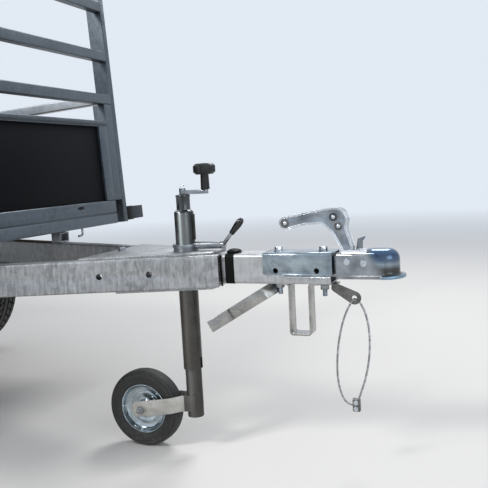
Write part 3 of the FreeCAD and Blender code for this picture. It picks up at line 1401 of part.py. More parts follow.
def sideWall(side):
    # Uprights at the ends and the middle, a top rail and two panels.
    y = "(bed_half_width + side_outset - frame_depth)"
    low = "(rail_height + seat_gap)"
    start = "(post_depth + seat_gap)"
    length = "(bed_length - 2 * %s)" % start
    span = "((%s - 3 * upright_width) / 2)" % length

    def across(item_y, depth):
        return item_y if side > 0 else "-(%s) - (%s)" % (item_y, depth)

    height = "panel_top - rail_height - seat_gap"
    uprights = []
    panels = []
    for i in range(3):
        x = "-%s - %d * (%s + upright_width) - upright_width" % (start, i, span)
        uprights.append(box(x, across(y, "frame_depth"), low, "upright_width", "frame_depth", height))
    for i in range(2):
        x = "-%s - %d * (%s + upright_width) - upright_width - %s + seat_gap" % (start, i, span, span)
        panels.append(box(x, across(y + " + panel_inset", "panel_thickness"), low, span + " - 2 * seat_gap",
                          "panel_thickness", "panel_top - rail_height - 2 * seat_gap"))
    top = box("-bed_length + " + start, across(y, "frame_depth"), "panel_top",
              length, "frame_depth", "frame_top - panel_top")
    return [top, *uprights], panels


def walls():
    frames = []
    panels = []
    for part_frames, part_panels in (frontWall(), sideWall(1), sideWall(-1)):
        frames += part_frames
        panels += part_panels
    node("wall_frames", group(*frames), bedFrame())
    node("wall_panels", group(*panels), bedFrame())


def sideRails():
    # One rail along each side above the panels, between the posts, on a prop at its middle.
    start = "(post_depth + seat_gap)"
    y = "bed_half_width - side_rail_depth"
    rails = twins("-bed_length + " + start, y, "side_rail_level", "bed_length - 2 * " + start,
                  "side_rail_depth", "side_rail_height")
    rails = [blended(rail, sheet.section_corner, runsX) for rail in rails]
    props = twins("-bed_length / 2 - prop_width / 2", y, "frame_top + seat_gap", "prop_width", "prop_depth",
                  "side_rail_level - frame_top - 2 * seat_gap")
    node("side_rails", group(*rails, *props), bedFrame())


def lamps():
    # Marker lamps look ahead and tail lamps look back. Both stand out from the posts.
    s = sheet
    fronts = twins("-lamp_depth", "bed_half_width + seat_gap", "lamp_level", "lamp_depth",
                   "lamp_inner + lamp_body_width - bed_half_width", "lamp_height")
    y = "lamp_inner + lamp_body_width + 2 * seat_gap"
    lenses = twins("-lamp_depth + lens_inset", y, "lamp_level + lens_inset", "lamp_depth - 2 * lens_inset",
                   "lamp_width - lamp_body_width", "lamp_height - 2 * lens_inset")
    round_lenses = []
    for lens, left in zip(lenses, (True, False)):
        # Only the outer end is rounded. The inner one seats on the lamp's body.
        outer_end = lambda way, at: not runsY(way, at) and (at.y > 0) == left
        round_lenses.append(blended(lens, s.lens_corner, outer_end))
    node("marker_lamp_lenses", group(*round_lenses), bedFrame())
    x = "-bed_length - tail_lamp_outset"
    backs = twins(x, "bed_half_width + seat_gap", "tail_lamp_level", "tail_lamp_depth",
                  "lamp_inner + tail_lamp_width - bed_half_width", "tail_lamp_height")
    node("lamp_bodies", group(*fronts, *backs), bedFrame())
    lenses = twins(x + " - seat_gap - tail_lens_depth", "lamp_inner + tail_lens_margin",
                   "tail_lamp_level + tail_lens_margin", "tail_lens_depth",
                   "tail_lamp_width - 2 * tail_lens_margin", "tail_lamp_height - 2 * tail_lens_margin")
    node("tail_lamp_lenses", group(*[blended(lens, s.lens_corner, runsX) for lens in lenses]), bedFrame())


def tarpHooks():
    # J hooks under the front rail for a cover's cord: a shank, a quarter bend and a toe.
    s = sheet
    hooks = []
    x = -s.rail_depth / 2
    low = -s.hook_drop + s.hook_radius
    for side in (-1, 1):
        top = V(x, side * s.hook_place, -s.seat_gap)
        bend_start = V(x, side * s.hook_place, low + s.hook_bend)
        bend_centre = V(x, side * (s.hook_place - s.hook_bend), low + s.hook_bend)
        bend_end = V(x, side * (s.hook_place - s.hook_bend), low)
        disc = Part.Face(Part.Wire(Part.makeCircle(s.hook_radius, bend_start, V(0, 0, 1))))
        bend = disc.revolve(bend_centre, V(-side, 0, 0), 90)
        shank = Part.makeCylinder(s.hook_radius, top.z - bend_start.z, top, V(0, 0, -1))
        toe = Part.makeCylinder(s.hook_radius, s.hook_reach - s.hook_bend, bend_end, V(0, -side, 0))
        hooks.append(bend.fuse([shank, toe]))
    node("tarp_hooks", shaped(Part.makeCompound(hooks)), bedFrame())


# Tailgate

def tailgate():
    low = "(rail_height + gate_gap)"
    x = "-bed_length"
    half = "(rail_end_half - gate_gap)"
    uprights = twins(x, "panel_half_width - gate_gap + seat_gap", low + " + gate_foot_height", "frame_depth",
                     "rail_end_half - panel_half_width - seat_gap",
                     "panel_top - rail_height - gate_gap - gate_foot_height")
    top = box(x, "-" + half, "panel_top", "frame_depth", "2 * " + half, "frame_top - panel_top")
    foot = box(x, "-" + half, low, "frame_depth", "2 * " + half, "gate_foot_height")
    node("tailgate_frame", group(top, foot, *uprights), bedFrame())
    panel = box(x + " + frame_depth / 2 - panel_thickness / 2", "-panel_half_width + gate_gap",
                low + " + gate_foot_height + seat_gap", "panel_thickness", "2 * panel_half_width - 2 * gate_gap",
                "panel_top - rail_height - gate_gap - gate_foot_height - 2 * seat_gap")
    node("tailgate_panel", group(panel), bedFrame())


def hinges():
    # Two hinges: knuckles, pin and leaves on the rear rail, a knuckle and its leaf on the gate.
    s = sheet
    x = -s.bed_length - s.hinge_outset
    z = s.rail_height + s.gate_gap / 2
    third = s.hinge_length / 3
    width = third - 2 * s.knuckle_gap
    face = -s.bed_length - s.leaf_thickness - s.seat_gap
    along = V(0, 1, 0)
    fixed = []
    moving = []
    for side in (-1, 1):
        start = side * s.hinge_place - s.hinge_length / 2 + s.knuckle_gap
        pieces = [Part.makeCylinder(s.hinge_pin_radius, s.hinge_length - 2 * s.knuckle_gap, V(x, start, z), along)]
        for i in (0, 2):
            y = start + i * third
            pieces.append(Part.makeCylinder(s.hinge_radius, width, V(x, y, z), along))
            corner = V(face, y, z - s.leaf_drop)
            pieces.append(Part.makeBox(s.leaf_thickness, width, s.leaf_drop - s.leaf_thickness, corner))
        fixed.append(pieces[0].fuse(pieces[1:]).removeSplitter())
        y = start + third
        knuckle = Part.makeCylinder(s.hinge_radius, width, V(x, y, z), along)
        leaf = Part.makeBox(s.leaf_thickness, width, s.leaf_height, V(face, y, z))
        bore = Part.makeCylinder(s.hinge_pin_radius + s.running_gap, third, V(x, y - s.knuckle_gap, z), along)
        moving.append(knuckle.fuse(leaf).cut(bore))
    node("hinge_knuckles", shaped(Part.makeCompound(fixed)), bedFrame())
    node("gate_hinge_leaves", shaped(Part.makeCompound(moving)), bedFrame())


def latches():
    # A sliding bolt at each end of the gate.
    x = "-bed_length - latch_depth - seat_gap"
    y = "rail_end_half - gate_gap - latch_width"
    cases = twins(x, y, "latch_level", "latch_depth", "latch_width", "latch_height")
    node("gate_latches", group(*cases), bedFrame())


frontTube()
drawbarArms()
gussetPlates()
couplingClamp()
couplingHead()
couplingHandle()
plugHoop()
bentStrap()
cableEar()
safetyCable()
cableClip()
jockeyClamp()
jockeyTube()
jockeyCap()
jockeyCrank()
crankKnob()
jockeyLeg()
jockeyWheel()
axleBeam()
axleSaddles()
hangerPlates()
suspensionArms()
for label, hand in (("left", 1), ("right", -1)):
    roadWheel(label, hand)
    mudguard("mudguard_" + label, hand)
guardStruts()
endRails()
sills()
floorPanel()
crossBeams()
bedBrackets()
cornerPosts()
rackPosts()
rackRails()
walls()
sideRails()
lamps()
tarpHooks()
tailgate()
hinges()
latches()

doc.recompute()
for item in doc.Objects:
    if "Invalid" in item.State or "Error" in item.State:
        raise RuntimeError("%s (%s) did not recompute" % (item.Name, item.Label))
for name, item in nodes.items():
    if item.Shape.isNull() or not item.Shape.isValid() or not item.Shape.Solids:
        raise RuntimeError("%s has no valid solid" % name)
for name, item in nodes.items():
    item.Shape.exportStep("parts/%s.step" % name)
    print(name, len(item.Shape.Solids), "solids, volume %.0f" % item.Shape.Volume)
print(len(nodes), "nodes")
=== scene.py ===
import json
import math

import bpy
from mathutils import Matrix, Quaternion, Vector


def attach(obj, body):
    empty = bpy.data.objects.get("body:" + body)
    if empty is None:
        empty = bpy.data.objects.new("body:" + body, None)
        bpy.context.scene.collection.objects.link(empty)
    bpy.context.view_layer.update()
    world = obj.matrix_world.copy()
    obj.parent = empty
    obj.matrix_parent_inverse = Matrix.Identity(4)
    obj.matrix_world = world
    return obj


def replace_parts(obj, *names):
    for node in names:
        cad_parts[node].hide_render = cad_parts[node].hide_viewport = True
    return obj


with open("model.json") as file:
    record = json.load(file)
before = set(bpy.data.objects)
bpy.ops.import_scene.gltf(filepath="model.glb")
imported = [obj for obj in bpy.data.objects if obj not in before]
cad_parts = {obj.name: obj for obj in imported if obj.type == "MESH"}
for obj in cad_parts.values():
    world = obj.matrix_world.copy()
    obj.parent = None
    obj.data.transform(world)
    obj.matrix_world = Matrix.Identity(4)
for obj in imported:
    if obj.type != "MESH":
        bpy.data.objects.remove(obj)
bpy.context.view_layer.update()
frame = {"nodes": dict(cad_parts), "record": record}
nodes = frame["nodes"]
groundLevel = -0.468


# hand tools

def clearSelection():
    bpy.ops.object.select_all(action="DESELECT")


def take(piece):
    clearSelection()
    piece.select_set(True)
    bpy.context.view_layer.objects.active = piece


def mode(name):
    bpy.ops.object.mode_set(mode=name)


def newPiece(name, data):
    piece = bpy.data.objects.new(name, data)
    bpy.context.collection.objects.link(piece)
    return piece


def applyAll(piece):
    take(piece)
    bpy.ops.object.transform_apply(location=True, rotation=True, scale=True)
    return piece


def addModifier(piece, kind, **settings):
    take(piece)
    bpy.ops.object.modifier_add(type=kind)
    modifier = piece.modifiers[-1]
    for name, value in settings.items():
        setattr(modifier, name, value)
    bpy.ops.object.modifier_apply(modifier=modifier.name)
    return piece


def smooth(piece, angle):
    take(piece)
    bpy.ops.object.shade_smooth_by_angle(angle=math.radians(angle))
    return piece


def pickFaces(piece, test):
    # Selects faces by place and normal, and stays in edit mode.
    take(piece)
    mode("EDIT")
    bpy.ops.mesh.select_mode(type="FACE")
    bpy.ops.mesh.select_all(action="DESELECT")
    mode("OBJECT")
    for face in piece.data.polygons:
        face.select = test(face.center, face.normal)
    mode("EDIT")


def cadCopy(node, name):
    # A merged copy of a CAD node's mesh, with its flat faces whole again.
    mesh = nodes[node].data.copy()
    mesh.materials.clear()
    piece = newPiece(name, mesh)
    take(piece)
    mode("EDIT")
    bpy.ops.mesh.select_all(action="SELECT")
    bpy.ops.mesh.remove_doubles(threshold=0.00002)
    bpy.ops.mesh.dissolve_limited(angle_limit=math.radians(1))
    mode("OBJECT")
    return piece


def softened(node, width):
    # The CAD form with its edges broken, as folded steel, boards and mouldings have them.
    piece = cadCopy(node, node + "Soft")
    addModifier(piece, "BEVEL", width=width, segments=2, limit_method="ANGLE",
                angle_limit=math.radians(35), use_clamp_overlap=True)
    smooth(piece, 40)
    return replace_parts(piece, node)


def finishPiece(piece, finishName, body="trailer"):
    finish = finishes[finishName]
    piece.data.materials.clear()
    piece.data.materials.append(finish.material)
    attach(piece, body)
    return piece


def joined(name, pieces):
    clearSelection()
    for piece in pieces:
        piece.select_set(True)
    bpy.context.view_layer.objects.active = pieces[0]
    if len(pieces) > 1:
        bpy.ops.object.join()
    whole = bpy.context.view_layer.objects.active
    whole.name = name
    return applyAll(whole)


def standOn(piece, at, axis=(0, 0, 1), spin=0.0):
    # Stands a piece made at the origin on a place, its own Z along the axis.
    up = Vector((0, 0, 1))
    turn = up.rotation_difference(Vector(axis)) @ Quaternion(up, math.radians(spin))
    piece.matrix_world = Matrix.Translation(Vector(at)) @ turn.to_matrix().to_4x4()
    return applyAll(piece)


def toMesh(piece):
    take(piece)
    bpy.ops.object.convert(target="MESH")
    return piece


def newCurve(name, radius, fineness):
    curve = bpy.data.curves.new(name, "CURVE")
    curve.dimensions = "3D"
    curve.bevel_depth = radius
    curve.bevel_resolution = fineness
    return curve


def startBlock(size, at=(0, 0, 0)):
    clearSelection()
    bpy.ops.mesh.primitive_cube_add(size=1, location=at)
    block = bpy.context.object
    block.scale = size
    return applyAll(block)


def turnedForm(name, rings, segments=32):
    # A closed form turned about Z, extruded ring by ring from (radius, height) places in millimetres.
    clearSelection()
    rings = [(max(radius, 0.01), height) for radius, height in rings]
    bpy.ops.mesh.primitive_circle_add(vertices=segments, radius=rings[0][0] / 1000,
                                      location=(0, 0, rings[0][1] / 1000))
    piece = applyAll(bpy.context.object)
    piece.name = name
    mode("EDIT")
    bpy.ops.mesh.select_mode(type="EDGE")
    bpy.ops.mesh.select_all(action="SELECT")
    for (radius, height), (nextRadius, nextHeight) in zip(rings, rings[1:] + rings[:1]):
        bpy.ops.mesh.extrude_edges_indiv()
        growth = nextRadius / radius
        bpy.ops.transform.resize(value=(growth, growth, 1), center_override=(0, 0, 0))
        bpy.ops.transform.translate(value=(0, 0, (nextHeight - height) / 1000))
    bpy.ops.mesh.select_all(action="SELECT")
    bpy.ops.mesh.remove_doubles(threshold=0.00003)
    bpy.ops.mesh.normals_make_consistent(inside=False)
    mode("OBJECT")
    return smooth(piece, 32)


def discard(piece):
    bpy.data.objects.remove(piece, do_unlink=True)


# shader maths

class Field:
    def __init__(self, finish, socket):
        self.finish = finish
        self.socket = socket

    def mathWith(self, operation, first, second):
        return self.finish.node("ShaderNodeMath", {"operation": operation}, {0: first, 1: second})

    def __add__(self, other):
        return self.mathWith("ADD", self, other)

    __radd__ = __add__

    def __mul__(self, other):
        return self.mathWith("MULTIPLY", self, other)

    __rmul__ = __mul__


class Finish:
    def __init__(self, name, slotName):
        self.slotName = slotName
        self.material = bpy.data.materials.new(name)
        self.material.use_nodes = True
        self.tree = self.material.node_tree
        self.tree.nodes.clear()

    def node(self, kind, settings=None, sockets=None, out=0):
        item = self.tree.nodes.new(kind)
        for name, value in (settings or {}).items():
            if name == "stops":
                while len(item.color_ramp.elements) < len(value):
                    item.color_ramp.elements.new(0.5)
                for element, (place, colour) in zip(item.color_ramp.elements, value):
                    element.position = place
                    element.color = colour
            else:
                setattr(item, name, value)
        for name, value in (sockets or {}).items():
            if isinstance(value, Field):
                self.tree.links.new(value.socket, item.inputs[name])
            else:
                item.inputs[name].default_value = value
        return Field(self, item.outputs[out])

    def place(self, stretch=(1, 1, 1)):
        point = self.node("ShaderNodeTexCoord", out="Object")
        if stretch == (1, 1, 1):
            return point
        return self.node("ShaderNodeMapping", {"vector_type": "POINT"}, {"Vector": point, "Scale": stretch})

    def noise(self, scale, detail=4.0, rough=0.55, stretch=(1, 1, 1)):
        sockets = {"Vector": self.place(stretch), "Scale": scale, "Detail": detail, "Roughness": rough}
        return self.node("ShaderNodeTexNoise", None, sockets)

    def cells(self, scale):
        colour = self.node("ShaderNodeTexVoronoi", {"feature": "F1"},
                           {"Vector": self.place(), "Scale": scale}, "Color")
        return self.node("ShaderNodeSeparateColor", None, {0: colour})

    def ribs(self, scale):
        bands = {"wave_type": "BANDS", "bands_direction": "Z", "wave_profile": "SIN"}
        return self.node("ShaderNodeTexWave", bands, {"Vector": self.place(), "Scale": scale}, "Fac")

    def span(self, field, low, high, toLow=0.0, toHigh=1.0):
        return self.node("ShaderNodeMapRange", {"clamp": True},
                         {0: field, 1: low, 2: high, 3: toLow, 4: toHigh})

    def patches(self, scale, detail, rough, low, high):
        # Noise with its middle range spread out.
        return self.span(self.noise(scale, detail, rough), low, high)

    def between(self, field, rise, fall):
        # 1 from the end of the rise to the start of the fall, 0 outside both.
        return self.span(field, *rise) * self.span(field, *fall, 1, 0)

    def along(self, axis):
        return self.node("ShaderNodeSeparateXYZ", None, {0: self.place()}, axis)

    def aside(self):
        # How far a point is from the trailer's middle plane.
        return self.node("ShaderNodeMath", {"operation": "ABSOLUTE"}, {0: self.along("Y")})

    def mixed(self, mask, first, second):
        return self.node("ShaderNodeMix", {"data_type": "RGBA"}, {0: mask, 6: first, 7: second}, 2)

    def ramp(self, field, stops):
        return self.node("ShaderNodeValToRGB", {"stops": stops}, {0: field})

    def bump(self, height, strength, depth):
        return self.node("ShaderNodeBump", None, {"Height": height, "Strength": strength, "Distance": depth})

    def relief(self, scale, detail, rough, strength, depth):
        return self.bump(self.noise(scale, detail, rough), strength, depth)

    def shader(self, **sockets):
        named = {name.replace("_", " "): value for name, value in sockets.items()}
        surface = self.node("ShaderNodeBsdfPrincipled", None, named)
        output = self.tree.nodes.new("ShaderNodeOutputMaterial")
        self.tree.links.new(surface.socket, output.inputs["Surface"])
        return self


def tinted(value, tint):
    return tuple(value * t for t in tint) + (1,)


def grey(value, blue=0.0):
    return tinted(value, (1 - blue, 1, 1 + blue))


# camera, as the photograph was taken

cameraAt = {
    "place": (0.2820, -1.5222, 0.2319),
    "yaw": 21.995,
    "pitch": 6.131,
    "roll": -3.047,
    "focalPixels": 691.5,
    "imagePixels": 488,
    "sensorWidth": 36,
}


def placeCamera():
    yaw, pitch, roll = (math.radians(cameraAt[k]) for k in ("yaw", "pitch", "roll"))
    ahead = Vector((-math.sin(yaw) * math.cos(pitch), math.cos(yaw) * math.cos(pitch), -math.sin(pitch)))
    right = Vector((math.cos(yaw), math.sin(yaw), 0))
    up = right.cross(ahead)
    rolledRight = right * math.cos(roll) + up * math.sin(roll)
    rolledUp = up * math.cos(roll) - right * math.sin(roll)
    turn = Matrix((rolledRight, rolledUp, -ahead)).transposed()
    bpy.ops.object.camera_add(location=cameraAt["place"], rotation=turn.to_euler())
    camera = bpy.context.object
    camera.data.sensor_fit = "HORIZONTAL"
    camera.data.sensor_width = cameraAt["sensorWidth"]
    camera.data.lens = cameraAt["sensorWidth"] * cameraAt["focalPixels"] / cameraAt["imagePixels"]
    camera.data.clip_start = 0.05
    bpy.context.scene.camera = camera


placeCamera()
print("camera placed")


# finishes

# Ahead of these places the side rails carry painted light and the front wall painted shade.
rearFrom = (-1.4, -1.12)  # behind these places the bed's steel takes its rear tone


def galvanised(name, low, high, blue, drip, behind=None):
    # Hot dip zinc: dull crystals, cloudy patches, and runs down the faces.
    finish = Finish(name, "galvanised_steel")
    crystal = finish.cells(75)
    cloud = finish.patches(7, 6, 0.6, 0.3, 0.7)
    runs = finish.span(finish.noise(2.2, 5, 0.62, (75, 75, 15)), 0.35, 0.68)
    speck = finish.patches(260, 3, 0.7, 0.62, 0.8)
    scuff = finish.patches(30, 7, 0.72, 0.6, 0.74)
    blend = cloud * 0.45 + crystal * 0.25 + runs * drip
    tone = finish.mixed(blend, grey(low, blue), grey(high, blue * 0.6))
    # Painted light and shade stop toward the rear: there the steel takes the plainer behind tones.
    if behind:
        rear = finish.span(finish.along("X"), *rearFrom, 1, 0)
        tone = finish.mixed(rear, tone, finish.mixed(blend, grey(behind[0], 0.1), grey(behind[1], 0.06)))
    tone = finish.mixed(speck * 0.4, tone, grey(high * 1.2))
    tone = finish.mixed(scuff * 0.35, tone, grey(low * 0.55, blue))
    rough = finish.span(cloud * 0.6 + crystal * 0.4, 0, 1, 0.3, 0.5)
    return finish.shader(Base_Color=tone, Roughness=rough, Metallic=0.78,
                         Normal=finish.bump(finish.noise(340, 4) + runs * 0.6, 0.25, 0.0006))


def zincPlated(name, low, high, roughLow, roughHigh, tint=(0.93, 1, 1.07)):
    # Bright plating: smooth, a little blue, with cloudy patches, stains and handling marks.
    finish = Finish(name, "zinc_plated_steel")
    cloud = finish.patches(24, 5, 0.55, 0.34, 0.66)
    stain = finish.patches(55, 6, 0.7, 0.54, 0.72)
    rub = finish.span(finish.noise(38, 6, 0.75, (1, 1, 6)), 0.5, 0.7)
    tone = finish.mixed(cloud, tinted(low, tint), tinted(high, tint))
    tone = finish.mixed(rub * 0.4, tone, grey(high * 1.25, 0.01))
    tone = finish.mixed(stain * 0.45, tone, grey(low * 0.5, 0.05))
    rough = finish.span(cloud * 0.5 + stain * 0.5, 0, 1, roughLow, roughHigh)
    return finish.shader(Base_Color=tone, Roughness=rough, Metallic=0.94,
                         Normal=finish.relief(150, 6, 0.62, 0.16, 0.0005))


# Painted reflections on the jockey tubes and cap: each ramp lists light and dark bands laid across the tube's
# side that faces the camera.
jockeyTones = {
    "across": (0.927, 0.375, 0.4524),  # how X and Y count from one side of the tubes to the other
    "reflectionsAbove": (0.024, (0.93, 1, 0.99), ((0, 0.04), (0.16, 0.18), (0.3, 0.72), (0.41, 0.2), (0.7, 0.085),
                                       (0.87, 0.03), (1, 0.02))),
    "darkerReflectionsBelow": (0.024, (1.04, 1, 0.92), ((0, 0.09), (0.3, 0.135), (0.5, 0.075), (0.8, 0.045), (1, 0.03))),
    "cap": (0.024, (0.92, 1, 1.03), ((0, 0.2), (0.2, 0.62), (0.32, 0.14), (0.5, 0.055), (0.72, 0.11),
                                     (1, 0.03))),
    "leg": (0.021, (1.03, 1, 0.95), ((0, 0.1), (0.3, 0.16), (0.55, 0.085), (0.85, 0.05), (1, 0.03))),
    "darkerBelow": (-0.04, -0.02),
    "forkBehind": (-0.5097, -0.5085),
}


def paintedReflectionStreaks(finish, part):
    # Painted reflections: light and dark streaks along an upright tube, from its one side round to the other.
    x, y, shift = jockeyTones["across"]
    radius, tint, values = jockeyTones[part]
    across = finish.along("X") * x + finish.along("Y") * y + shift + finish.noise(60, 4) * 0.002
    stops = [(place, tinted(value, tint)) for place, value in values]
    return finish.ramp(finish.span(across, 0.001 - radius, 0.001 + radius), stops)


def jockeyTubeFinish():
    # The outer tube: painted reflection streaks round it, silvery above at the clamp, darker and browner
    # under the drawbar.
    finish = Finish("jockeyTube", "galvanised_steel")
    reflectionsAbove = paintedReflectionStreaks(finish, "reflectionsAbove")
    darkerReflectionsBelow = paintedReflectionStreaks(finish, "darkerReflectionsBelow")
    cloud = finish.patches(30, 6, 0.65, 0.34, 0.68)
    tone = finish.mixed(finish.span(finish.along("Z"), *jockeyTones["darkerBelow"]), darkerReflectionsBelow, reflectionsAbove)
    tone = finish.mixed(cloud * 0.25, tone, (0.16, 0.16, 0.15, 1))
    return finish.shader(Base_Color=tone, Roughness=finish.span(cloud, 0, 1, 0.24, 0.42), Metallic=0.85,
                         Normal=finish.relief(260, 5, 0.6, 0.16, 0.0005))


def capFinish():
    # The plated cap on the tube's head, coloured with painted reflection streaks.
    finish = Finish("jockeyCap", "zinc_plated_steel")
    tone = paintedReflectionStreaks(finish, "cap")
    cloud = finish.patches(60, 6, 0.65, 0.4, 0.7)
    return finish.shader(Base_Color=finish.mixed(cloud * 0.2, tone, grey(0.1)), Metallic=0.94,
                         Roughness=finish.span(cloud, 0, 1, 0.12, 0.3),
                         Normal=finish.relief(150, 6, 0.62, 0.14, 0.0005))


def legFinish():
    # The jockey leg: grey drawn tube above with painted reflection streaks, pale plated fork behind it.
    finish = Finish("jockeyLeg", "zinc_plated_steel")
    cloud = finish.patches(26, 6, 0.6, 0.34, 0.68)
    grime = finish.patches(70, 6, 0.7, 0.5, 0.72)
    tube = paintedReflectionStreaks(finish, "leg")
    fork = finish.mixed(cloud, (0.47, 0.46, 0.43, 1), (0.62, 0.61, 0.58, 1))
    tone = finish.mixed(finish.span(finish.along("X"), *jockeyTones["forkBehind"], 1, 0), tube, fork)
    tone = finish.mixed(grime * 0.35, tone, (0.13, 0.12, 0.1, 1))
    return finish.shader(Base_Color=tone, Roughness=finish.span(cloud, 0, 1, 0.34, 0.48), Metallic=0.8,
                         Normal=finish.relief(260, 5, 0.6, 0.16, 0.0005))


couplingTones = {
    "webShade": ((0.0108, 0.011), (0.01135, 0.0116)),  # the handle's sunk web, by its distance from the middle
    "domeAhead": (-0.012, 0.008),
    "domeHeights": (-0.0205, 0.0465),
    # Painted reflections: bands of colour up the front of the dome.
    "dome": [(0, (0.1, 0.2, 0.32, 1)), (0.1, (0.3, 0.46, 0.6, 1)), (0.17, (0.045, 0.045, 0.04, 1)),
             (0.36, (0.07, 0.07, 0.062, 1)), (0.52, (0.3, 0.35, 0.38, 1)), (0.64, (0.1, 0.15, 0.22, 1)),
             (0.8, (0.04, 0.075, 0.14, 1)), (0.95, (0.09, 0.16, 0.27, 1))],
    "upstandHeights": ((0.0358, 0.0364), (0.0411, 0.0413)),
    "upstandSides": ((0.0122, 0.0128), (0.0175, 0.018)),
    "upstandFront": (-0.0368, -0.036),
}


def handleFinish():
    # The pressed handle: a sunk web with painted shade, darker than the folded rim round it.
    finish = Finish("handleZinc", "zinc_plated_steel")
    cloud = finish.patches(24, 5, 0.55, 0.34, 0.66)
    stain = finish.patches(70, 6, 0.7, 0.5, 0.72)
    rim = finish.mixed(cloud, (0.4, 0.44, 0.47, 1), (0.68, 0.72, 0.76, 1))
    # Painted shade: the sunk web takes a darker tone than the rim.
    paintedShadeInWeb = finish.mixed(cloud, (0.15, 0.175, 0.2, 1), (0.4, 0.44, 0.49, 1))
    tone = finish.mixed(finish.between(finish.aside(), *couplingTones["webShade"]), rim, paintedShadeInWeb)
    tone = finish.mixed(stain * 0.4, tone, (0.1, 0.11, 0.12, 1))
    return finish.shader(Base_Color=tone, Roughness=finish.span(cloud * 0.5 + stain * 0.5, 0, 1, 0.14, 0.32),
                         Metallic=0.94, Normal=finish.relief(150, 6, 0.62, 0.2, 0.0006))


def headFinish():
    # The pressed head, with painted reflections in bands of light, dark and blue round its dome, and a
    # painted highlight on the upstands on top.
    finish = Finish("headZinc", "zinc_plated_steel")
    cloud = finish.patches(24, 5, 0.55, 0.34, 0.66)
    stain = finish.patches(55, 6, 0.7, 0.54, 0.72)
    wave = finish.noise(30, 3)
    ahead = finish.along("X") + finish.along("Z") * 0.6 + wave * 0.01
    height = finish.span(finish.along("Z") + wave * 0.006, *couplingTones["domeHeights"])
    tone = finish.mixed(cloud, (0.2, 0.21, 0.22, 1), (0.42, 0.435, 0.45, 1))
    # Painted reflections: the dome's front takes the banded colours by height.
    tone = finish.mixed(finish.span(ahead, *couplingTones["domeAhead"], 0, 0.92), tone,
                        finish.ramp(height, couplingTones["dome"]))
    tone = finish.mixed(stain * 0.35, tone, (0.1, 0.105, 0.11, 1))
    # Painted highlight: the upstands' tops are coloured near white.
    upstandHighlight = finish.between(finish.along("Z"), *couplingTones["upstandHeights"])
    upstandHighlight = upstandHighlight * finish.between(finish.aside(), *couplingTones["upstandSides"])
    upstandHighlight = upstandHighlight * finish.span(finish.along("X"), *couplingTones["upstandFront"], 1, 0)
    tone = finish.mixed(upstandHighlight, tone, (0.9, 0.91, 0.92, 1))
    return finish.shader(Base_Color=tone, Roughness=finish.span(cloud * 0.5 + stain * 0.5, 0, 1, 0.13, 0.3),
                         Metallic=0.95, Normal=finish.relief(150, 6, 0.62, 0.14, 0.0005))


tailLens = {"amber": ((0.586, 0.587), (0.624, 0.625)), "clearInside": (0.5445, 0.5455)}


def tailLensFinish():
    # One moulding in three colours: red, a band of amber, and a clear reversing strip.
    finish = Finish("tailLens", "red_lens")
    ribs = finish.ribs(60)
    side = finish.aside()
    tone = finish.mixed(ribs, (0.5, 0.012, 0.01, 1), (0.72, 0.03, 0.02, 1))
    tone = finish.mixed(finish.between(side, *tailLens["amber"]), tone, (0.8, 0.27, 0.02, 1))
    tone = finish.mixed(finish.span(side, *tailLens["clearInside"], 1, 0), tone, (0.72, 0.72, 0.72, 1))
    return finish.shader(Base_Color=tone, Roughness=0.14, Transmission_Weight=0.2, Coat_Weight=0.6,
                         Coat_Roughness=0.04, Normal=finish.bump(ribs, 0.5, 0.0012))


def markerLensFinish():
    # The marker lamp's dark moulded lens, ribbed inside.
    finish = Finish("markerLens", "amber_lens")
    ribs = finish.ribs(55)
    tone = finish.mixed(ribs, (0.025, 0.032, 0.042, 1), (0.06, 0.07, 0.085, 1))
    return finish.shader(Base_Color=tone, Roughness=0.3, Transmission_Weight=0.1, Specular_IOR_Level=0.2,
                         Normal=finish.bump(ribs, 0.5, 0.0012))


def rubber(name, slotName, tone, dustTop):
    # Rubber, dustier near the ground.
    finish = Finish(name, slotName)
    height = finish.along("Z") + finish.noise(14, 4) * 0.05
    dust = finish.span(height, groundLevel, dustTop, 0.75, 0.1)
    grain = finish.noise(90, 5, 0.6)
    base = finish.mixed(finish.span(grain, 0.3, 0.7), grey(tone, 0.02), grey(tone * 1.6, 0.02))
    colour = finish.mixed(dust * finish.span(grain, 0.35, 0.65), base, (0.15, 0.14, 0.125, 1))
    return finish.shader(Base_Color=colour, Roughness=finish.span(grain, 0.3, 0.7, 0.5, 0.75),
                         Normal=finish.bump(grain, 0.3, 0.0006))


def plastic(name, low, high, roughLow, roughHigh, grainScale, shine=0.4):
    # Black moulding or tape, a little dusty.
    finish = Finish(name, "black_plastic")
    grain = finish.noise(grainScale, 3, 0.5)
    dust = finish.patches(9, 5, 0.6, 0.42, 0.75)
    return finish.shader(Base_Color=finish.mixed(dust, grey(low, 0.03), grey(high, 0.02)),
                         Roughness=finish.span(dust, 0, 1, roughLow, roughHigh), Specular_IOR_Level=shine,
                         Normal=finish.bump(grain, 0.25, 0.0003))


def board(name, slotName, low, high, hue):
    # Film-faced board: a fine wire-mesh print on a nearly matt face.
    finish = Finish(name, slotName)
    mesh = finish.node("ShaderNodeTexBrick", {"offset": 0.5}, {
        "Vector": finish.place(), "Scale": 180.0, "Mortar Size": 0.02, "Color1": (1, 1, 1, 1),
        "Color2": (0.9, 0.9, 0.9, 1), "Mortar": (0, 0, 0, 1)}, "Fac")
    cloud = finish.patches(3.2, 5, 0.6, 0.3, 0.75)
    dust = finish.patches(40, 5, 0.65, 0.55, 0.8)
    tone = finish.mixed(cloud * 0.7 + dust * 0.3, tinted(low, hue), tinted(high, hue))
    return finish.shader(Base_Color=tone, Roughness=finish.span(cloud + dust * 0.4, 0, 1.2, 0.42, 0.58),
                         Specular_IOR_Level=0.05, Normal=finish.bump(mesh, 0.08, 0.0002))


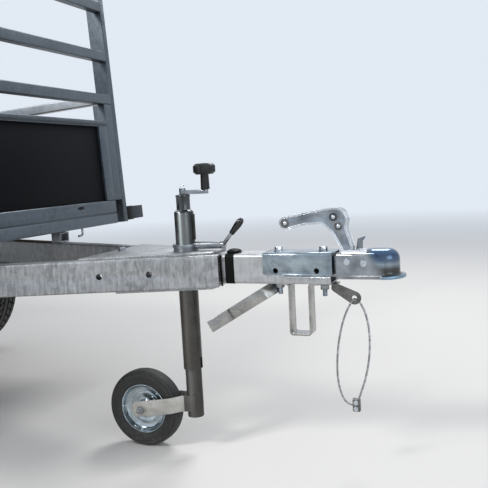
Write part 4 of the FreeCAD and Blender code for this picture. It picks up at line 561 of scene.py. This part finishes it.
def rimFinish():
    # Silver paint on the road wheels, with road dust.
    finish = Finish("silverRim", "silver_paint")
    cloud = finish.patches(12, 5, 0.6, 0.35, 0.7)
    dust = finish.patches(50, 4, 0.6, 0.5, 0.75)
    tone = finish.mixed(cloud, grey(0.42, 0.01), grey(0.52, 0.01))
    tone = finish.mixed(dust * 0.3, tone, (0.2, 0.18, 0.16, 1))
    return finish.shader(Base_Color=tone, Roughness=finish.span(cloud, 0, 1, 0.34, 0.48), Metallic=0.55,
                         Normal=finish.relief(400, 3, 0.55, 0.1, 0.0004))


def hubFinish():
    # Cast iron with a film of rust.
    finish = Finish("castHub", "cast_hub")
    grain = finish.noise(220, 4, 0.6)
    rust = finish.patches(24, 6, 0.7, 0.52, 0.7)
    tone = finish.mixed(rust * 0.6, grey(0.06), (0.14, 0.06, 0.03, 1))
    return finish.shader(Base_Color=tone, Roughness=finish.span(grain, 0.3, 0.7, 0.5, 0.7), Metallic=0.4,
                         Normal=finish.bump(grain, 0.5, 0.001))


def cableFinish():
    # Bare steel wire, brighter where it is worn.
    finish = Finish("wireRope", "cable_sheath")
    worn = finish.patches(120, 4, 0.55, 0.35, 0.7)
    tone = finish.mixed(worn, grey(0.22, 0.03), grey(0.55, 0.02))
    return finish.shader(Base_Color=tone, Roughness=finish.span(worn, 0, 1, 0.16, 0.34), Metallic=0.9,
                         Normal=finish.relief(600, 3, 0.55, 0.2, 0.0003))


finishes = {
    # Lit and shaded copies of one galvanised steel: the drawbar and the side rails carry painted light, the
    # sills, axle parts and front wall painted shade.
    "sunSteel": galvanised("dippedSteelBright", 0.15, 0.5, 0.04, 0.55),
    "frontTube": galvanised("dippedSteelFresh", 0.36, 0.62, 0.03, 0.4),
    "shadeSteel": galvanised("dippedSteelInShade", 0.16, 0.32, 0.1, 0.25),
    "shadedWallSteel": galvanised("dippedSteelShade", 0.076, 0.16, 0.23, 0.25, (0.17, 0.33)),
    "sunlitRailSteel": galvanised("dippedSteelSunlitPale", 0.45, 0.72, 0.06, 0.3, (0.24, 0.44)),
    "tubeSteel": jockeyTubeFinish(),
    "zinc": zincPlated("zincPlate", 0.22, 0.42, 0.17, 0.34),
    "stripZinc": zincPlated("zincStrip", 0.27, 0.46, 0.22, 0.4, (1, 0.99, 0.95)),
    "zincClamp": zincPlated("zincClamp", 0.21, 0.44, 0.14, 0.3, (0.84, 1.02, 1.15)),
    "zincShade": zincPlated("zincShade", 0.08, 0.2, 0.25, 0.42, (1, 0.98, 0.93)),
    "zincHandle": handleFinish(),
    # Painted highlight for the rounded edges.
    "zincEdgeHighlight": zincPlated("zincEdgeHighlight", 0.72, 0.93, 0.2, 0.32, (0.97, 1, 1.03)),
    "cap": capFinish(),
    "zincBright": zincPlated("zincFresh", 0.46, 0.7, 0.12, 0.26),
    "zincDull": zincPlated("zincDull", 0.26, 0.38, 0.36, 0.5),
    "zincDark": zincPlated("zincDark", 0.07, 0.14, 0.25, 0.4),
    "dishZinc": zincPlated("zincDish", 0.26, 0.62, 0.08, 0.18, (0.84, 0.98, 1.05)),
    "leg": legFinish(),
    "head": headFinish(),
    "tyre": rubber("roadRubber", "tyre_rubber", 0.02, -0.25),
    "jockeyRubber": rubber("jockeyRubber", "solid_rubber", 0.015, -0.4),
    "black": plastic("blackMoulding", 0.014, 0.03, 0.36, 0.6, 700),
    "knobBlack": plastic("knobMoulding", 0.01, 0.018, 0.2, 0.38, 900),
    "gripBlack": plastic("gripMoulding", 0.006, 0.012, 0.1, 0.22, 900, 0.6),
    "lampBlack": plastic("lampMoulding", 0.003, 0.007, 0.4, 0.6, 700, 0.15),
    "tape": plastic("blackTape", 0.004, 0.009, 0.45, 0.65, 260, 0.1),
    "blackBoard": board("blackFilmBoard", "black_board", 0.0035, 0.0065, (0.85, 1, 1.35)),
    "brownBoard": board("brownFilmBoard", "brown_board", 0.06, 0.11, (1.1, 0.75, 0.5)),
    "markerLens": markerLensFinish(),
    "redLens": tailLensFinish(),
    "rim": rimFinish(),
    "hub": hubFinish(),
    "cable": cableFinish(),
}
print("finishes mixed:", len(finishes))


# safety cable, a wire rope that hangs in a loop through the ear

cableRoute = [
    (-0.076, 0, -0.322), (-0.094, -0.002, -0.320), (-0.107, -0.004, -0.300), (-0.114, -0.007, -0.266),
    (-0.1145, -0.009, -0.226), (-0.110, -0.010, -0.180), (-0.101, -0.011, -0.138), (-0.090, -0.012, -0.105),
    (-0.078, -0.013, -0.082), (-0.070, 0, -0.0695), (-0.062, 0.013, -0.081), (-0.050, 0.012, -0.103),
    (-0.0415, 0.010, -0.138), (-0.040, 0.008, -0.182), (-0.0445, 0.005, -0.226), (-0.054, 0.002, -0.266),
    (-0.065, 0.001, -0.296), (-0.071, 0, -0.314)]
cable = {"diameter": 0.005, "strandRadius": 0.00092, "strands": 6, "lay": 0.016, "step": 0.0016}


def splinePoints():
    # The centreline read back from the route's own spline.
    curve = newCurve("routeGuide", 0, 0)
    curve.resolution_u = 16
    line = curve.splines.new("NURBS")
    line.points.add(len(cableRoute) - 1)
    for point, place in zip(line.points, cableRoute):
        point.co = (*place, 1)
    line.order_u = 3
    line.use_endpoint_u = True
    guide = newPiece("routeGuide", curve)
    mesh = bpy.data.meshes.new_from_object(guide)
    points = [v.co.copy() for v in mesh.vertices]
    discard(guide)
    return points


def evenPoints(points, step):
    lengths = [0.0]
    for a, b in zip(points, points[1:]):
        lengths.append(lengths[-1] + (b - a).length)
    count = int(lengths[-1] / step)
    result = []
    j = 0
    for i in range(count + 1):
        at = lengths[-1] * i / count
        while j < len(lengths) - 2 and lengths[j + 1] < at:
            j += 1
        share = (at - lengths[j]) / max(lengths[j + 1] - lengths[j], 1e-9)
        result.append(points[j].lerp(points[j + 1], share))
    return result, lengths[-1]


def layStrands():
    points, length = evenPoints(splinePoints(), cable["step"])
    last = len(points) - 1
    side = None
    frames = []
    for i in range(len(points)):
        tangent = (points[min(i + 1, last)] - points[max(i - 1, 0)]).normalized()
        side = side or tangent.cross(Vector((0, 1, 0))).normalized()
        side = (side - tangent * side.dot(tangent)).normalized()
        frames.append((side, tangent.cross(side)))
    curve = newCurve("safetyCableStrands", cable["strandRadius"], 1)
    out = cable["diameter"] / 2 - cable["strandRadius"]
    for k in range(cable["strands"] + 1):
        line = curve.splines.new("POLY")
        line.points.add(last)
        shift = 0 if k == cable["strands"] else out  # the last strand is the core
        for i, (point, (a, b)) in enumerate(zip(points, frames)):
            turn = 2 * math.pi * (k / cable["strands"] + i * length / last / cable["lay"])
            line.points[i].co = (*(point + (a * math.cos(turn) + b * math.sin(turn)) * shift), 1)
    strands = toMesh(newPiece("safetyCableStrands", curve))
    return smooth(strands, 60), points, length


strands, cablePath, cableLength = layStrands()
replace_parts(strands, "safety_cable")
finishPiece(strands, "cable")
print("cable laid: %.3f m" % cableLength)


# pieces that keep their CAD form, with the width of their broken edges

members = {
    "sunSteel": {"drawbar_arms": 0.0004, "gusset_plates": 0.0006},
    "frontTube": {"front_tube": 0.0004},
    "stripZinc": {"plug_hoop": 0.0006, "bent_strap": 0.0006},
    "shadedWallSteel": {"end_rails": 0.0012, "rack_posts": 0.0004, "rack_rails": 0.0004, "wall_frames": 0.002,
                  "corner_posts": 0.0004},
    "sunlitRailSteel": {"side_rails": 0.0004},
    "shadeSteel": {"side_sills": 0.001, "tailgate_frame": 0.002, "axle_beam": 0.002, "axle_saddles": 0.001,
                   "axle_hangers": 0.001, "suspension_arms": 0.001, "mudguard_struts": 0.001,
                   "cross_beams": 0.0012, "bed_brackets": 0.001, "hinge_knuckles": 0.0006,
                   "gate_hinge_leaves": 0.0006, "gate_latches": 0.0015},
    "zinc": {"clamp_lever": 0.0005, "jockey_axle_pin": 0.0004, "tarp_hooks": 0.0003, "jockey_crank": 0.001},
    "zincClamp": {"coupling_clamp": 0.0005},
    "zincShade": {"cable_ear": 0.0008, "cable_clip": 0.003},
    "cap": {"jockey_cap": 0.0005},
    "zincHandle": {"coupling_handle": 0.0005},
    "head": {"coupling_head": 0.0008},
    "zincDull": {"jockey_clamp": 0.0015},
    "tubeSteel": {"jockey_outer_tube": 0.0005},
    "leg": {"jockey_leg": 0.0005},
    "blackBoard": {"wall_panels": 0.001, "tailgate_panel": 0.001},
    "brownBoard": {"floor_panel": 0.001},
    "black": {"mudguard_right": 0.001, "mudguard_left": 0.001},
    "lampBlack": {"lamp_bodies": 0.002},
    "gripBlack": {"lever_grip": 0.0006},
    "knobBlack": {"crank_knob": 0.001},
    "markerLens": {"marker_lamp_lenses": 0.001},
    "redLens": {"tail_lamp_lenses": 0.001},
    "rim": {"wheel_rim_right": 0.0008, "wheel_rim_left": 0.0008},
    "hub": {"wheel_hub_right": 0.001, "wheel_hub_left": 0.001},
}
bodies = frame["record"]["behaviour"]["bodies"]
bodyOf = {nodeName: bodyName for bodyName, names in bodies.items() for nodeName in names}

for finishName, widths in members.items():
    for nodeName, width in widths.items():
        finishPiece(softened(nodeName, width), finishName, bodyOf[nodeName])
print("members softened:", sum(len(w) for w in members.values()))


# jockey wheel: its tyre and its dished rim, turned ring by ring

jockeyWheel = {
    "hub": (-0.630, 0, -0.368),
    "tyreHalf": [(65.2, 19.6), (66.5, 21.3), (70, 22.6), (74, 23.7), (76, 24.1), (76.6, 23.5), (77.4, 23.5),
                 (78, 24.4), (82.4, 24.9), (82.8, 24.2), (83.6, 24.2), (84, 24.9), (88, 24.6), (91.5, 23.2),
                 (91.8, 21.7), (93, 21.2), (93.8, 21.9), (96.3, 19.4), (98.1, 16.4), (98.3, 15.6), (97, 15.1),
                 (97, 14.3), (98.9, 13.7), (99.6, 10.5), (99.7, 9.2), (98.2, 8.7), (98.2, 7.7), (99.8, 7.2),
                 (100, 3.6), (100, 1.1), (98.4, 0.6)],
    "rimHalf": [(64.6, 19.3), (63.8, 20), (62, 19.8), (60.6, 18.2), (59.4, 14.6), (58, 11), (55.6, 8.2),
                (51.5, 6), (46, 4.7), (42.2, 4.5), (40.4, 5.6), (38, 6), (35.6, 5.2), (32, 4.2), (26, 3.8),
                (21, 4.6), (17.8, 6.8), (15.6, 10.4), (14.4, 16), (14, 21.2), (13.2, 22), (7, 22),
                (6.3, 21.4)],
    "turned": (("jockey_tyre", "tyreHalf", "jockeyRubber"), ("jockey_rim", "rimHalf", "dishZinc")),
    "segments": 112,
}


def bothSides(half):
    return half + [(radius, -side) for radius, side in half[::-1]]


def turnJockeyWheel():
    for node, half, finish in jockeyWheel["turned"]:
        piece = turnedForm(node + "Turned", bothSides(jockeyWheel[half]), jockeyWheel["segments"])
        standOn(piece, jockeyWheel["hub"], (0, 1, 0))
        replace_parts(piece, node)
        finishPiece(piece, finish, "jockey_wheel")


turnJockeyWheel()
print("jockey wheel turned")


# road tyres: flank ribs, four grooves round, and blocks cut across the tread

roadTyre = {
    "axle": (-1.985, 0.745, -0.187),
    "segments": 232,
    "half": [(165.6, 57.4), (175.4, 57.4), (179, 60.6), (184, 63.6), (191, 66.4), (199, 68.9), (201, 69.9),
             (203.4, 69.9), (206, 70.2), (214, 71.6), (222, 72.3), (231, 72.2), (240, 71.5), (243, 71.9),
             (247, 71.7), (250, 70.6), (256, 69.8), (262, 68.4), (268, 66.4), (273.4, 63.4), (276.4, 60),
             (278.6, 55.4), (280.2, 50.8), (281, 46.5), (281, 39.5), (274.2, 38.2), (274.2, 33.6),
             (281, 32.3), (281, 24.4), (281, 15.5), (274.2, 14.2), (274.2, 8.6), (281, 7.3)],
    "sipe": 0.9786,
    "cutRadius": 0.2755,
    "shoulder": 39.5,
    "bands": (15, 24, 33),
}


def treadCut(centre, normal):
    # Slanted cuts across the shoulder blocks and the two middle bands.
    reach = math.hypot(centre.x, centre.y)
    if reach < roadTyre["cutRadius"] or abs(normal.z) > 0.75:
        return False
    pitch = 2 * math.pi / roadTyre["segments"]
    place = round(math.atan2(centre.y, centre.x) / pitch - 0.5)
    side = abs(centre.z) * 1000
    if side > roadTyre["shoulder"]:
        return place % 4 == 0
    inner, middle, outer = roadTyre["bands"]
    return (place + (1 if side > middle else 2)) % 4 == 0 and inner < side < outer


def makeRoadTyres():
    tyre = turnedForm("roadTyre", bothSides(roadTyre["half"]), roadTyre["segments"])
    pickFaces(tyre, treadCut)
    bpy.ops.mesh.extrude_region_move()
    bpy.ops.transform.resize(value=(roadTyre["sipe"], roadTyre["sipe"], 1), center_override=(0, 0, 0))
    mode("OBJECT")
    smooth(tyre, 32)
    x, y, z = roadTyre["axle"]
    for side, hand in (("left", 1), ("right", -1)):
        piece = newPiece("roadTyre" + side.capitalize(), tyre.data.copy())
        standOn(piece, (x, hand * y, z), (0, hand, 0))
        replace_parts(piece, "tyre_" + side)
        finishPiece(piece, "tyre", "wheel_" + side)
    discard(tyre)


makeRoadTyres()
print("road tyres cut")


# bolts, nuts, rivets and pins

fastener = {
    "domeRivet": [(0, 0), (7.5, 0), (7.5, 0.5), (7.1, 1.3), (5.8, 1.9), (3, 2.3), (0, 2.4)],
    "pinRing": [(0, 0), (9.6, 0), (9.6, 0.5), (9, 0.9), (6.6, 0.9), (6.2, 0.3), (0, 0.3)],
    "pinBall": [(0, 0), (5.6, 0), (5.4, 1.4), (4.6, 2.9), (3.2, 3.9), (1.6, 4.4), (0, 4.5)],
    "screwHead": [(0, 0), (5, 0), (4.8, 0.7), (3.6, 1.3), (2.2, 1.4), (1.6, 0.8), (0, 0.8)],
    "washer": [(0, 0), (12, 0), (12, 1.6), (11.5, 2), (0, 2)],
    "washerFor": 0.019,  # the width across flats that it suits
    "washerHeight": 0.002,
}


def hexHead(name, across, height, washer=True):
    # A hexagon head with its corners turned off, standing on its washer.
    clearSelection()
    base = fastener["washerHeight"] if washer else 0
    bpy.ops.mesh.primitive_cylinder_add(vertices=6, radius=across / 2 / math.cos(math.pi / 6), depth=height,
                                        location=(0, 0, base + height / 2))
    head = applyAll(bpy.context.object)
    pickFaces(head, lambda centre, normal: normal.z > 0.9)
    bpy.ops.mesh.inset(thickness=across * 0.09)
    bpy.ops.transform.translate(value=(0, 0, height * 0.1))
    mode("OBJECT")
    addModifier(head, "BEVEL", width=across * 0.025, segments=1)
    pieces = [head]
    if washer:
        rings = [(radius * across / fastener["washerFor"], level) for radius, level in fastener["washer"]]
        pieces.append(turnedForm("washer", rings))
    return smooth(joined(name, pieces), 30)


def boltEnd(name, radius, length, pitch=1.5):
    # A threaded end: one turned ridge for each pitch.
    rings = [(0, 0), (radius, 0)]
    height = pitch
    while height < length - pitch:
        rings += [(radius * 0.86, height), (radius, height + pitch / 2)]
        height += pitch
    rings += [(radius * 0.8, length), (0, length)]
    return turnedForm(name, rings, 20)


couplingTrim = {
    "rivets": ((-0.076, 0.0173), (-0.0395, 0.0138)),
    "rivetFace": 0.037,
    # The pins' ring finishes are dark as painted shade round each ball.
    "pins": ((-0.223, 0.104, "zincShade"), (-0.109, 0.116, "zincDark"), (-0.098, 0.095, "zincShade")),
    "pinFaces": (0.0136, 0.0139),  # seats of the ring and the ball, out from the middle
    "clampBolts": ((-0.2457, -0.035), (-0.1380, -0.0383)),  # place along the tube, and the nut's seat
    "clampTop": 0.0388,
    "clampHead": (0.019, 0.0075),
    "clampNut": (0.019, 0.010),
    "threadBelowSeat": 0.0115,
    "gussetBolt": (-0.672, 0, 0.041),
    "gussetHead": (0.017, 0.007),
    "gripPlace": (-0.074, 0.006, 0.0055),  # along the trailer, and the seats of nut and thread
    "gripHeights": (-0.3135, -0.3275),
    "gripNut": (0.0105, 0.004),
    "crankEnd": (-0.488, 0, 0.1996),
}


def fitFasteners():
    trims = {"zincBright": [], "zinc": [], "zincShade": [], "zincDark": [], "zincDull": []}
    up, down = (0, 0, 1), (0, 0, -1)

    def fit(finish, piece, at, axis, spin=0):
        trims[finish].append(standOn(piece, at, axis, spin))

    # coupling head: two flat rivets each side
    face = couplingTrim["rivetFace"]
    for x, z in couplingTrim["rivets"]:
        for hand in (1, -1):
            fit("zincBright", turnedForm("rivet", fastener["domeRivet"]), (x, hand * face, z), (0, hand, 0))
    # handle pins: a ring round a bright ball, the ring darkened as painted shade round the ball, darkest at
    # the upper pivot
    ringFace, ballFace = couplingTrim["pinFaces"]
    for x, z, ringShadeFinish in couplingTrim["pins"]:
        for hand in (1, -1):
            fit(ringShadeFinish, turnedForm("ring", fastener["pinRing"]), (x, hand * ringFace, z), (0, hand, 0))
            fit("zincBright", turnedForm("ball", fastener["pinBall"]), (x, hand * ballFace, z), (0, hand, 0))
    # clamp bolts through the tube: heads above, nuts and thread below
    top, below = couplingTrim["clampTop"], couplingTrim["threadBelowSeat"]
    for x, seat in couplingTrim["clampBolts"]:
        fit("zincBright", hexHead("clampHead", *couplingTrim["clampHead"]), (x, 0, top), up, 12)
        fit("zinc", hexHead("clampNut", *couplingTrim["clampNut"]), (x, 0, seat), down, 20)
        fit("zincBright", boltEnd("clampThread", 6, 17), (x, 0, seat - below), down)
    # gusset bolt
    fit("zincDull", hexHead("gussetHead", *couplingTrim["gussetHead"]), couplingTrim["gussetBolt"], up, 8)
    for finish, pieces in trims.items():
        finishPiece(joined("couplingTrim" + finish.capitalize(), pieces), finish)
    # cable clip: two small nuts with their threads, and heads on its other face
    grips = []
    x, face, threadFace = couplingTrim["gripPlace"]
    for z in couplingTrim["gripHeights"]:
        nut = hexHead("gripNut", *couplingTrim["gripNut"], washer=False)
        grips.append(standOn(nut, (x, -face, z), (0, -1, 0), 15))
        grips.append(standOn(boltEnd("gripThread", 2.6, 6, 1), (x, -threadFace, z), (0, -1, 0)))
        grips.append(standOn(turnedForm("gripHead", fastener["screwHead"], 20), (x, face, z), (0, 1, 0)))
    clipNuts = finishPiece(joined("clipNuts", grips), "zincBright")
    # crank: the riveted end of its spindle
    spindle = turnedForm("crankRivet", fastener["pinBall"])
    finishPiece(standOn(spindle, couplingTrim["crankEnd"]), "zincBright", "jockey_slide")
    return clipNuts


clipNuts = fitFasteners()
print("fasteners fitted")


# rounded edges coloured with a painted highlight: the handle's folded flange and the clamp's lips, on both
# sides

def paintedHighlightEdges(node, name, half, radius):
    # A thin bead round the flat faces that lie at this distance from the middle plane, coloured near white as
    # a painted highlight.
    rims = []
    for hand in (1, -1):
        source = cadCopy(node, "edgeSource")
        pickFaces(source, lambda centre, normal: normal.y * hand > 0.95
                  and abs(centre.y - hand * half) < 0.0004)
        bpy.ops.mesh.region_to_loop()
        bpy.ops.mesh.duplicate()
        bpy.ops.mesh.separate(type="SELECTED")
        mode("OBJECT")
        rim = [piece for piece in bpy.context.selected_objects if piece is not source][0]
        discard(source)
        take(rim)
        bpy.ops.object.convert(target="CURVE")
        rim.data.bevel_depth = radius
        rim.data.bevel_resolution = 1
        rims.append(toMesh(rim))
    finishPiece(smooth(joined(name, rims), 60), "zincEdgeHighlight")


paintedHighlightEdges("coupling_handle", "handleFlangeEdge", half=0.012, radius=0.0008)
paintedHighlightEdges("coupling_clamp", "clampLipEdge", half=0.0438, radius=0.0006)
print("bright edges drawn")


# wheel bolts, five to each hub

wheelBolts = {"count": 5, "ring": 0.049, "face": 0.7803, "across": 0.017, "height": 0.012}


def fitWheelBolts():
    x, _, z = roadTyre["axle"]
    count, ring, face = (wheelBolts[k] for k in ("count", "ring", "face"))
    for side, hand in (("left", 1), ("right", -1)):
        heads = []
        for i in range(count):
            turn = 2 * math.pi * i / count + math.pi / 2
            head = hexHead("wheelBolt", wheelBolts["across"], wheelBolts["height"])
            at = (x + ring * math.cos(turn), hand * face, z + ring * math.sin(turn))
            heads.append(standOn(head, at, (0, hand, 0), 20 * i))
        finishPiece(joined("wheelBolts" + side.capitalize(), heads), "zincDull", "wheel_" + side)


fitWheelBolts()
print("wheel bolts fitted")


# black tape round the tube, with its end folded over on top

tapeBand = {
    "back": -0.370,
    "front": -0.3475,
    "half": 0.0351,
    "corner": 0.0084,
    "thickness": 0.0007,
    "fold": (0.025, 0.034, 0.0052),
    "foldAt": (-0.3575, -0.004, 0.0383),
}


def wrapTape():
    back, front, width = tapeBand["back"], tapeBand["front"], 2 * tapeBand["half"]
    band = startBlock((front - back, width, width), ((back + front) / 2, 0, 0))
    pickFaces(band, lambda centre, normal: abs(normal.x) > 0.9)
    bpy.ops.mesh.delete(type="FACE")
    bpy.ops.mesh.select_all(action="SELECT")
    bpy.ops.mesh.bevel(offset=tapeBand["corner"], segments=5, affect="EDGES")
    mode("OBJECT")
    addModifier(band, "SOLIDIFY", thickness=tapeBand["thickness"], offset=1)
    fold = startBlock(tapeBand["fold"], tapeBand["foldAt"])
    mode("EDIT")
    bpy.ops.mesh.select_all(action="SELECT")
    bpy.ops.mesh.subdivide(number_cuts=2, smoothness=0.6)
    mode("OBJECT")
    addModifier(fold, "SUBSURF", levels=2, render_levels=2)
    finishPiece(smooth(joined("tubeTape", [band, fold]), 40), "tape")


wrapTape()
print("tape wrapped")


# weld beads, and black beads of painted shade where the arms meet the tube

welds = {
    "radius": 0.0024,
    "step": 0.0042,
    "armFront": (0.381, 0.0405),  # an arm's front corner, back from the ball and out from the middle
    "armSlope": 0.35606,
    "rows": ((0.0368, 0.690), (-0.0428, 0.610)),  # height, and how far back the row runs
    "start": 0.412,
    "run": 0.045,
    "pitch": 0.085,
    "jointShadeRadius": 0.003,
    "jointShadeEnds": ((-0.379, 0.0364, -0.040), (-0.3812, 0.0364, 0.035)),
}


def weldBead(start, end, radius):
    start, end = Vector(start), Vector(end)
    count = max(int((end - start).length / welds["step"]), 2)
    curve = newCurve("bead", radius, 2)
    curve.use_fill_caps = True
    line = curve.splines.new("POLY")
    line.points.add(2 * count)
    for i, point in enumerate(line.points):
        point.co = (*start.lerp(end, i / (2 * count)), 1)
        point.radius = (1.0, 0.72)[i % 2] * (0.92 + 0.12 * math.sin(i * 1.7))
    return toMesh(newPiece("bead", curve))


def runWelds():
    beads = []
    jointShadeBeads = []
    cornerX, cornerY = welds["armFront"]
    run, pitch, slope = (welds[k] for k in ("run", "pitch", "armSlope"))
    for hand in (1, -1):
        ends = [(x, hand * y, z) for x, y, z in welds["jointShadeEnds"]]
        # Painted shade: a black bead in the gap at each arm's front end.
        jointShadeBeads.append(weldBead(*ends, welds["jointShadeRadius"]))
        for z, back in welds["rows"]:
            reach = welds["start"]
            while reach + run < back:
                ends = [(-x, hand * (cornerY + (x - cornerX) * slope), z) for x in (reach, reach + run)]
                beads.append(weldBead(*ends, welds["radius"]))
                reach += pitch
    finishPiece(smooth(joined("drawbarWelds", beads), 60), "zincDull")
    finishPiece(smooth(joined("armJointShadeBeads", jointShadeBeads), 60), "tape")


runWelds()
print("welds run")


# screws that hold the floor down

bed = {"pitch": math.radians(3.06), "x": -1.041, "z": 0.069, "length": 1.85}
floorScrews = {"rows": (-0.5, 0, 0.5), "first": 0.07, "pitch": 0.29, "count": 6, "level": 0.0512}


def bedPlace(behind, y, height):
    # A place in the load bed's own frame: behind the front wall, across, and up from the bed's foot.
    pitch = bed["pitch"]
    return Vector((bed["x"] - behind * math.cos(pitch) - height * math.sin(pitch), y,
                   bed["z"] - behind * math.sin(pitch) + height * math.cos(pitch)))


def screwFloor():
    up = bedPlace(0, 0, 1) - bedPlace(0, 0, 0)
    heads = []
    for y in floorScrews["rows"]:
        for i in range(floorScrews["count"]):
            head = turnedForm("floorScrew", fastener["screwHead"], 20)
            place = bedPlace(floorScrews["first"] + i * floorScrews["pitch"], y, floorScrews["level"])
            heads.append(standOn(head, place, up))
    finishPiece(joined("floorScrews", heads), "zincDull")


screwFloor()
print("floor screwed down")


# black plugs that paint the shade inside holes: ovals in the front rail's slots, and dished blocks in the
# open ends of the sills

plugs = {
    "oval": [(0, 0), (5.7, 0), (5.7, 0.5), (4.9, 1), (0, 0.9)],
    "ovalStretch": 2.9,
    "ovalAt": (0.0012, 0.368, 0.066),
    "block": (0.008, 0.0562, 0.0722),
    "blockAt": (0.0645, 0.6155, 0.0405),
    "rim": 0.005,
    "dish": 0.004,
    "edge": 0.0008,
}


def sillEndShadeBlock(ahead):
    # A block whose outer face is dished, a dark stand-in for the shade inside a sill's open end; fitPlugs
    # turns it with the bed.
    block = startBlock(plugs["block"])
    pickFaces(block, lambda centre, normal: normal.x * ahead > 0.9)
    bpy.ops.mesh.inset(thickness=plugs["rim"])
    bpy.ops.transform.translate(value=(-ahead * plugs["dish"], 0, 0))
    mode("OBJECT")
    return addModifier(block, "BEVEL", width=plugs["edge"], segments=2)


def fitPlugs():
    ahead = bedPlace(-1, 0, 0) - bedPlace(0, 0, 0)
    pieces = []
    for hand in (1, -1):
        oval = turnedForm("slotShadePlug", plugs["oval"], 28)
        oval.scale = (1, plugs["ovalStretch"], 1)
        behind, y, height = plugs["ovalAt"]
        pieces.append(standOn(applyAll(oval), bedPlace(behind, hand * y, height), ahead))
        behind, y, height = plugs["blockAt"]
        for end, place in ((1, behind), (-1, bed["length"] - behind)):
            block = sillEndShadeBlock(end)
            at = bedPlace(place, hand * y, height)
            block.matrix_world = Matrix.Translation(at) @ Matrix.Rotation(-bed["pitch"], 4, "Y")
            pieces.append(applyAll(block))
    # Painted shade: the plugs' near black stands for the shade inside the slots and open sill ends.
    finishPiece(smooth(joined("holeShadePlugs", pieces), 40), "lampBlack")


fitPlugs()
print("plugs fitted")


# floor and light

studio = {
    "floorSize": 60,
    "floor": ((0.72, 0.72, 0.72, 1), (0.74, 0.74, 0.74, 1)),
    "fade": (2.6, 8.5),  # metres from the coupling over which the floor turns into the backdrop
    "backdrop": (0.76, 0.82, 0.9, 1),
    "sky": (0.93, 0.96, 1.0, 1),
    "skyStrength": 0.5,
    "lamps": (  # name, place, aim, size, watts and colour
        ("keyLamp", (-2.3, -2.6, 3.0), (-0.5, 0, 0), 1.0, 95, (1, 0.97, 0.93)),
        ("backLamp", (-0.4, 2.4, 2.8), (-0.6, 0, 0), 1.4, 70, (1, 0.98, 0.95)),
        ("fillLamp", (2.2, -1.8, 1.2), (-0.4, 0, 0), 2.0, 22, (0.93, 0.96, 1)),
    ),
}


def makeFloor():
    bpy.ops.mesh.primitive_plane_add(size=studio["floorSize"], location=(-1, 0, groundLevel))
    floor = bpy.context.object
    floor.name = "studioFloor"
    finish = Finish("studioFloor", None)
    grain = finish.patches(1.5, 3, 0.55, 0.3, 0.7)
    finish.shader(Base_Color=finish.mixed(grain, *studio["floor"]), Roughness=0.9)
    out = finish.tree.nodes["Material Output"].inputs["Surface"]
    near = out.links[0].from_socket
    far = finish.node("ShaderNodeVectorMath", {"operation": "LENGTH"}, {0: finish.place()}, "Value")
    path = finish.tree.nodes.new("ShaderNodeLightPath")
    seen = Field(finish, path.outputs["Is Camera Ray"]) + Field(finish, path.outputs["Is Glossy Ray"])
    seen = finish.span(seen + Field(finish, path.outputs["Is Transmission Ray"]), 0, 1)
    fade = finish.span(far, *studio["fade"]) * seen
    plain = finish.node("ShaderNodeEmission", None, {"Color": studio["backdrop"], "Strength": 1.0})
    blend = finish.node("ShaderNodeMixShader", None, {0: fade, 1: Field(finish, near), 2: plain})
    finish.tree.links.new(blend.socket, out)
    floor.data.materials.append(finish.material)


def makeWorld():
    # The camera and the metal see the pale backdrop. The sky lights the object.
    world = bpy.data.worlds.new("studioSky")
    bpy.context.scene.world = world
    world.use_nodes = True
    tree = world.node_tree
    sky = tree.nodes["Background"]
    backdrop = tree.nodes.new("ShaderNodeBackground")
    for light, look, strength in ((sky, "sky", studio["skyStrength"]), (backdrop, "backdrop", 1)):
        light.inputs["Color"].default_value = studio[look]
        light.inputs["Strength"].default_value = strength
    path = tree.nodes.new("ShaderNodeLightPath")
    seen = path.outputs["Is Camera Ray"]
    for name in ("Is Glossy Ray", "Is Transmission Ray"):
        either = tree.nodes.new("ShaderNodeMath")
        either.operation = "MAXIMUM"
        tree.links.new(seen, either.inputs[0])
        tree.links.new(path.outputs[name], either.inputs[1])
        seen = either.outputs[0]
    chosen = tree.nodes.new("ShaderNodeMixShader")
    for source, socket in zip((seen, sky.outputs[0], backdrop.outputs[0]), chosen.inputs):
        tree.links.new(source, socket)
    tree.links.new(chosen.outputs[0], tree.nodes["World Output"].inputs["Surface"])


def addLamp(name, place, aim, size, watts, colour):
    bpy.ops.object.light_add(type="AREA", location=place)
    lamp = bpy.context.object
    lamp.name = name
    lamp.data.size = size
    lamp.data.energy = watts
    lamp.data.color = colour
    lamp.rotation_euler = (Vector(aim) - Vector(place)).to_track_quat("-Z", "Y").to_euler()


makeFloor()
makeWorld()
for lamp in studio["lamps"]:
    addLamp(*lamp)
bpy.context.scene.view_settings.view_transform = "Standard"
print("studio lit")
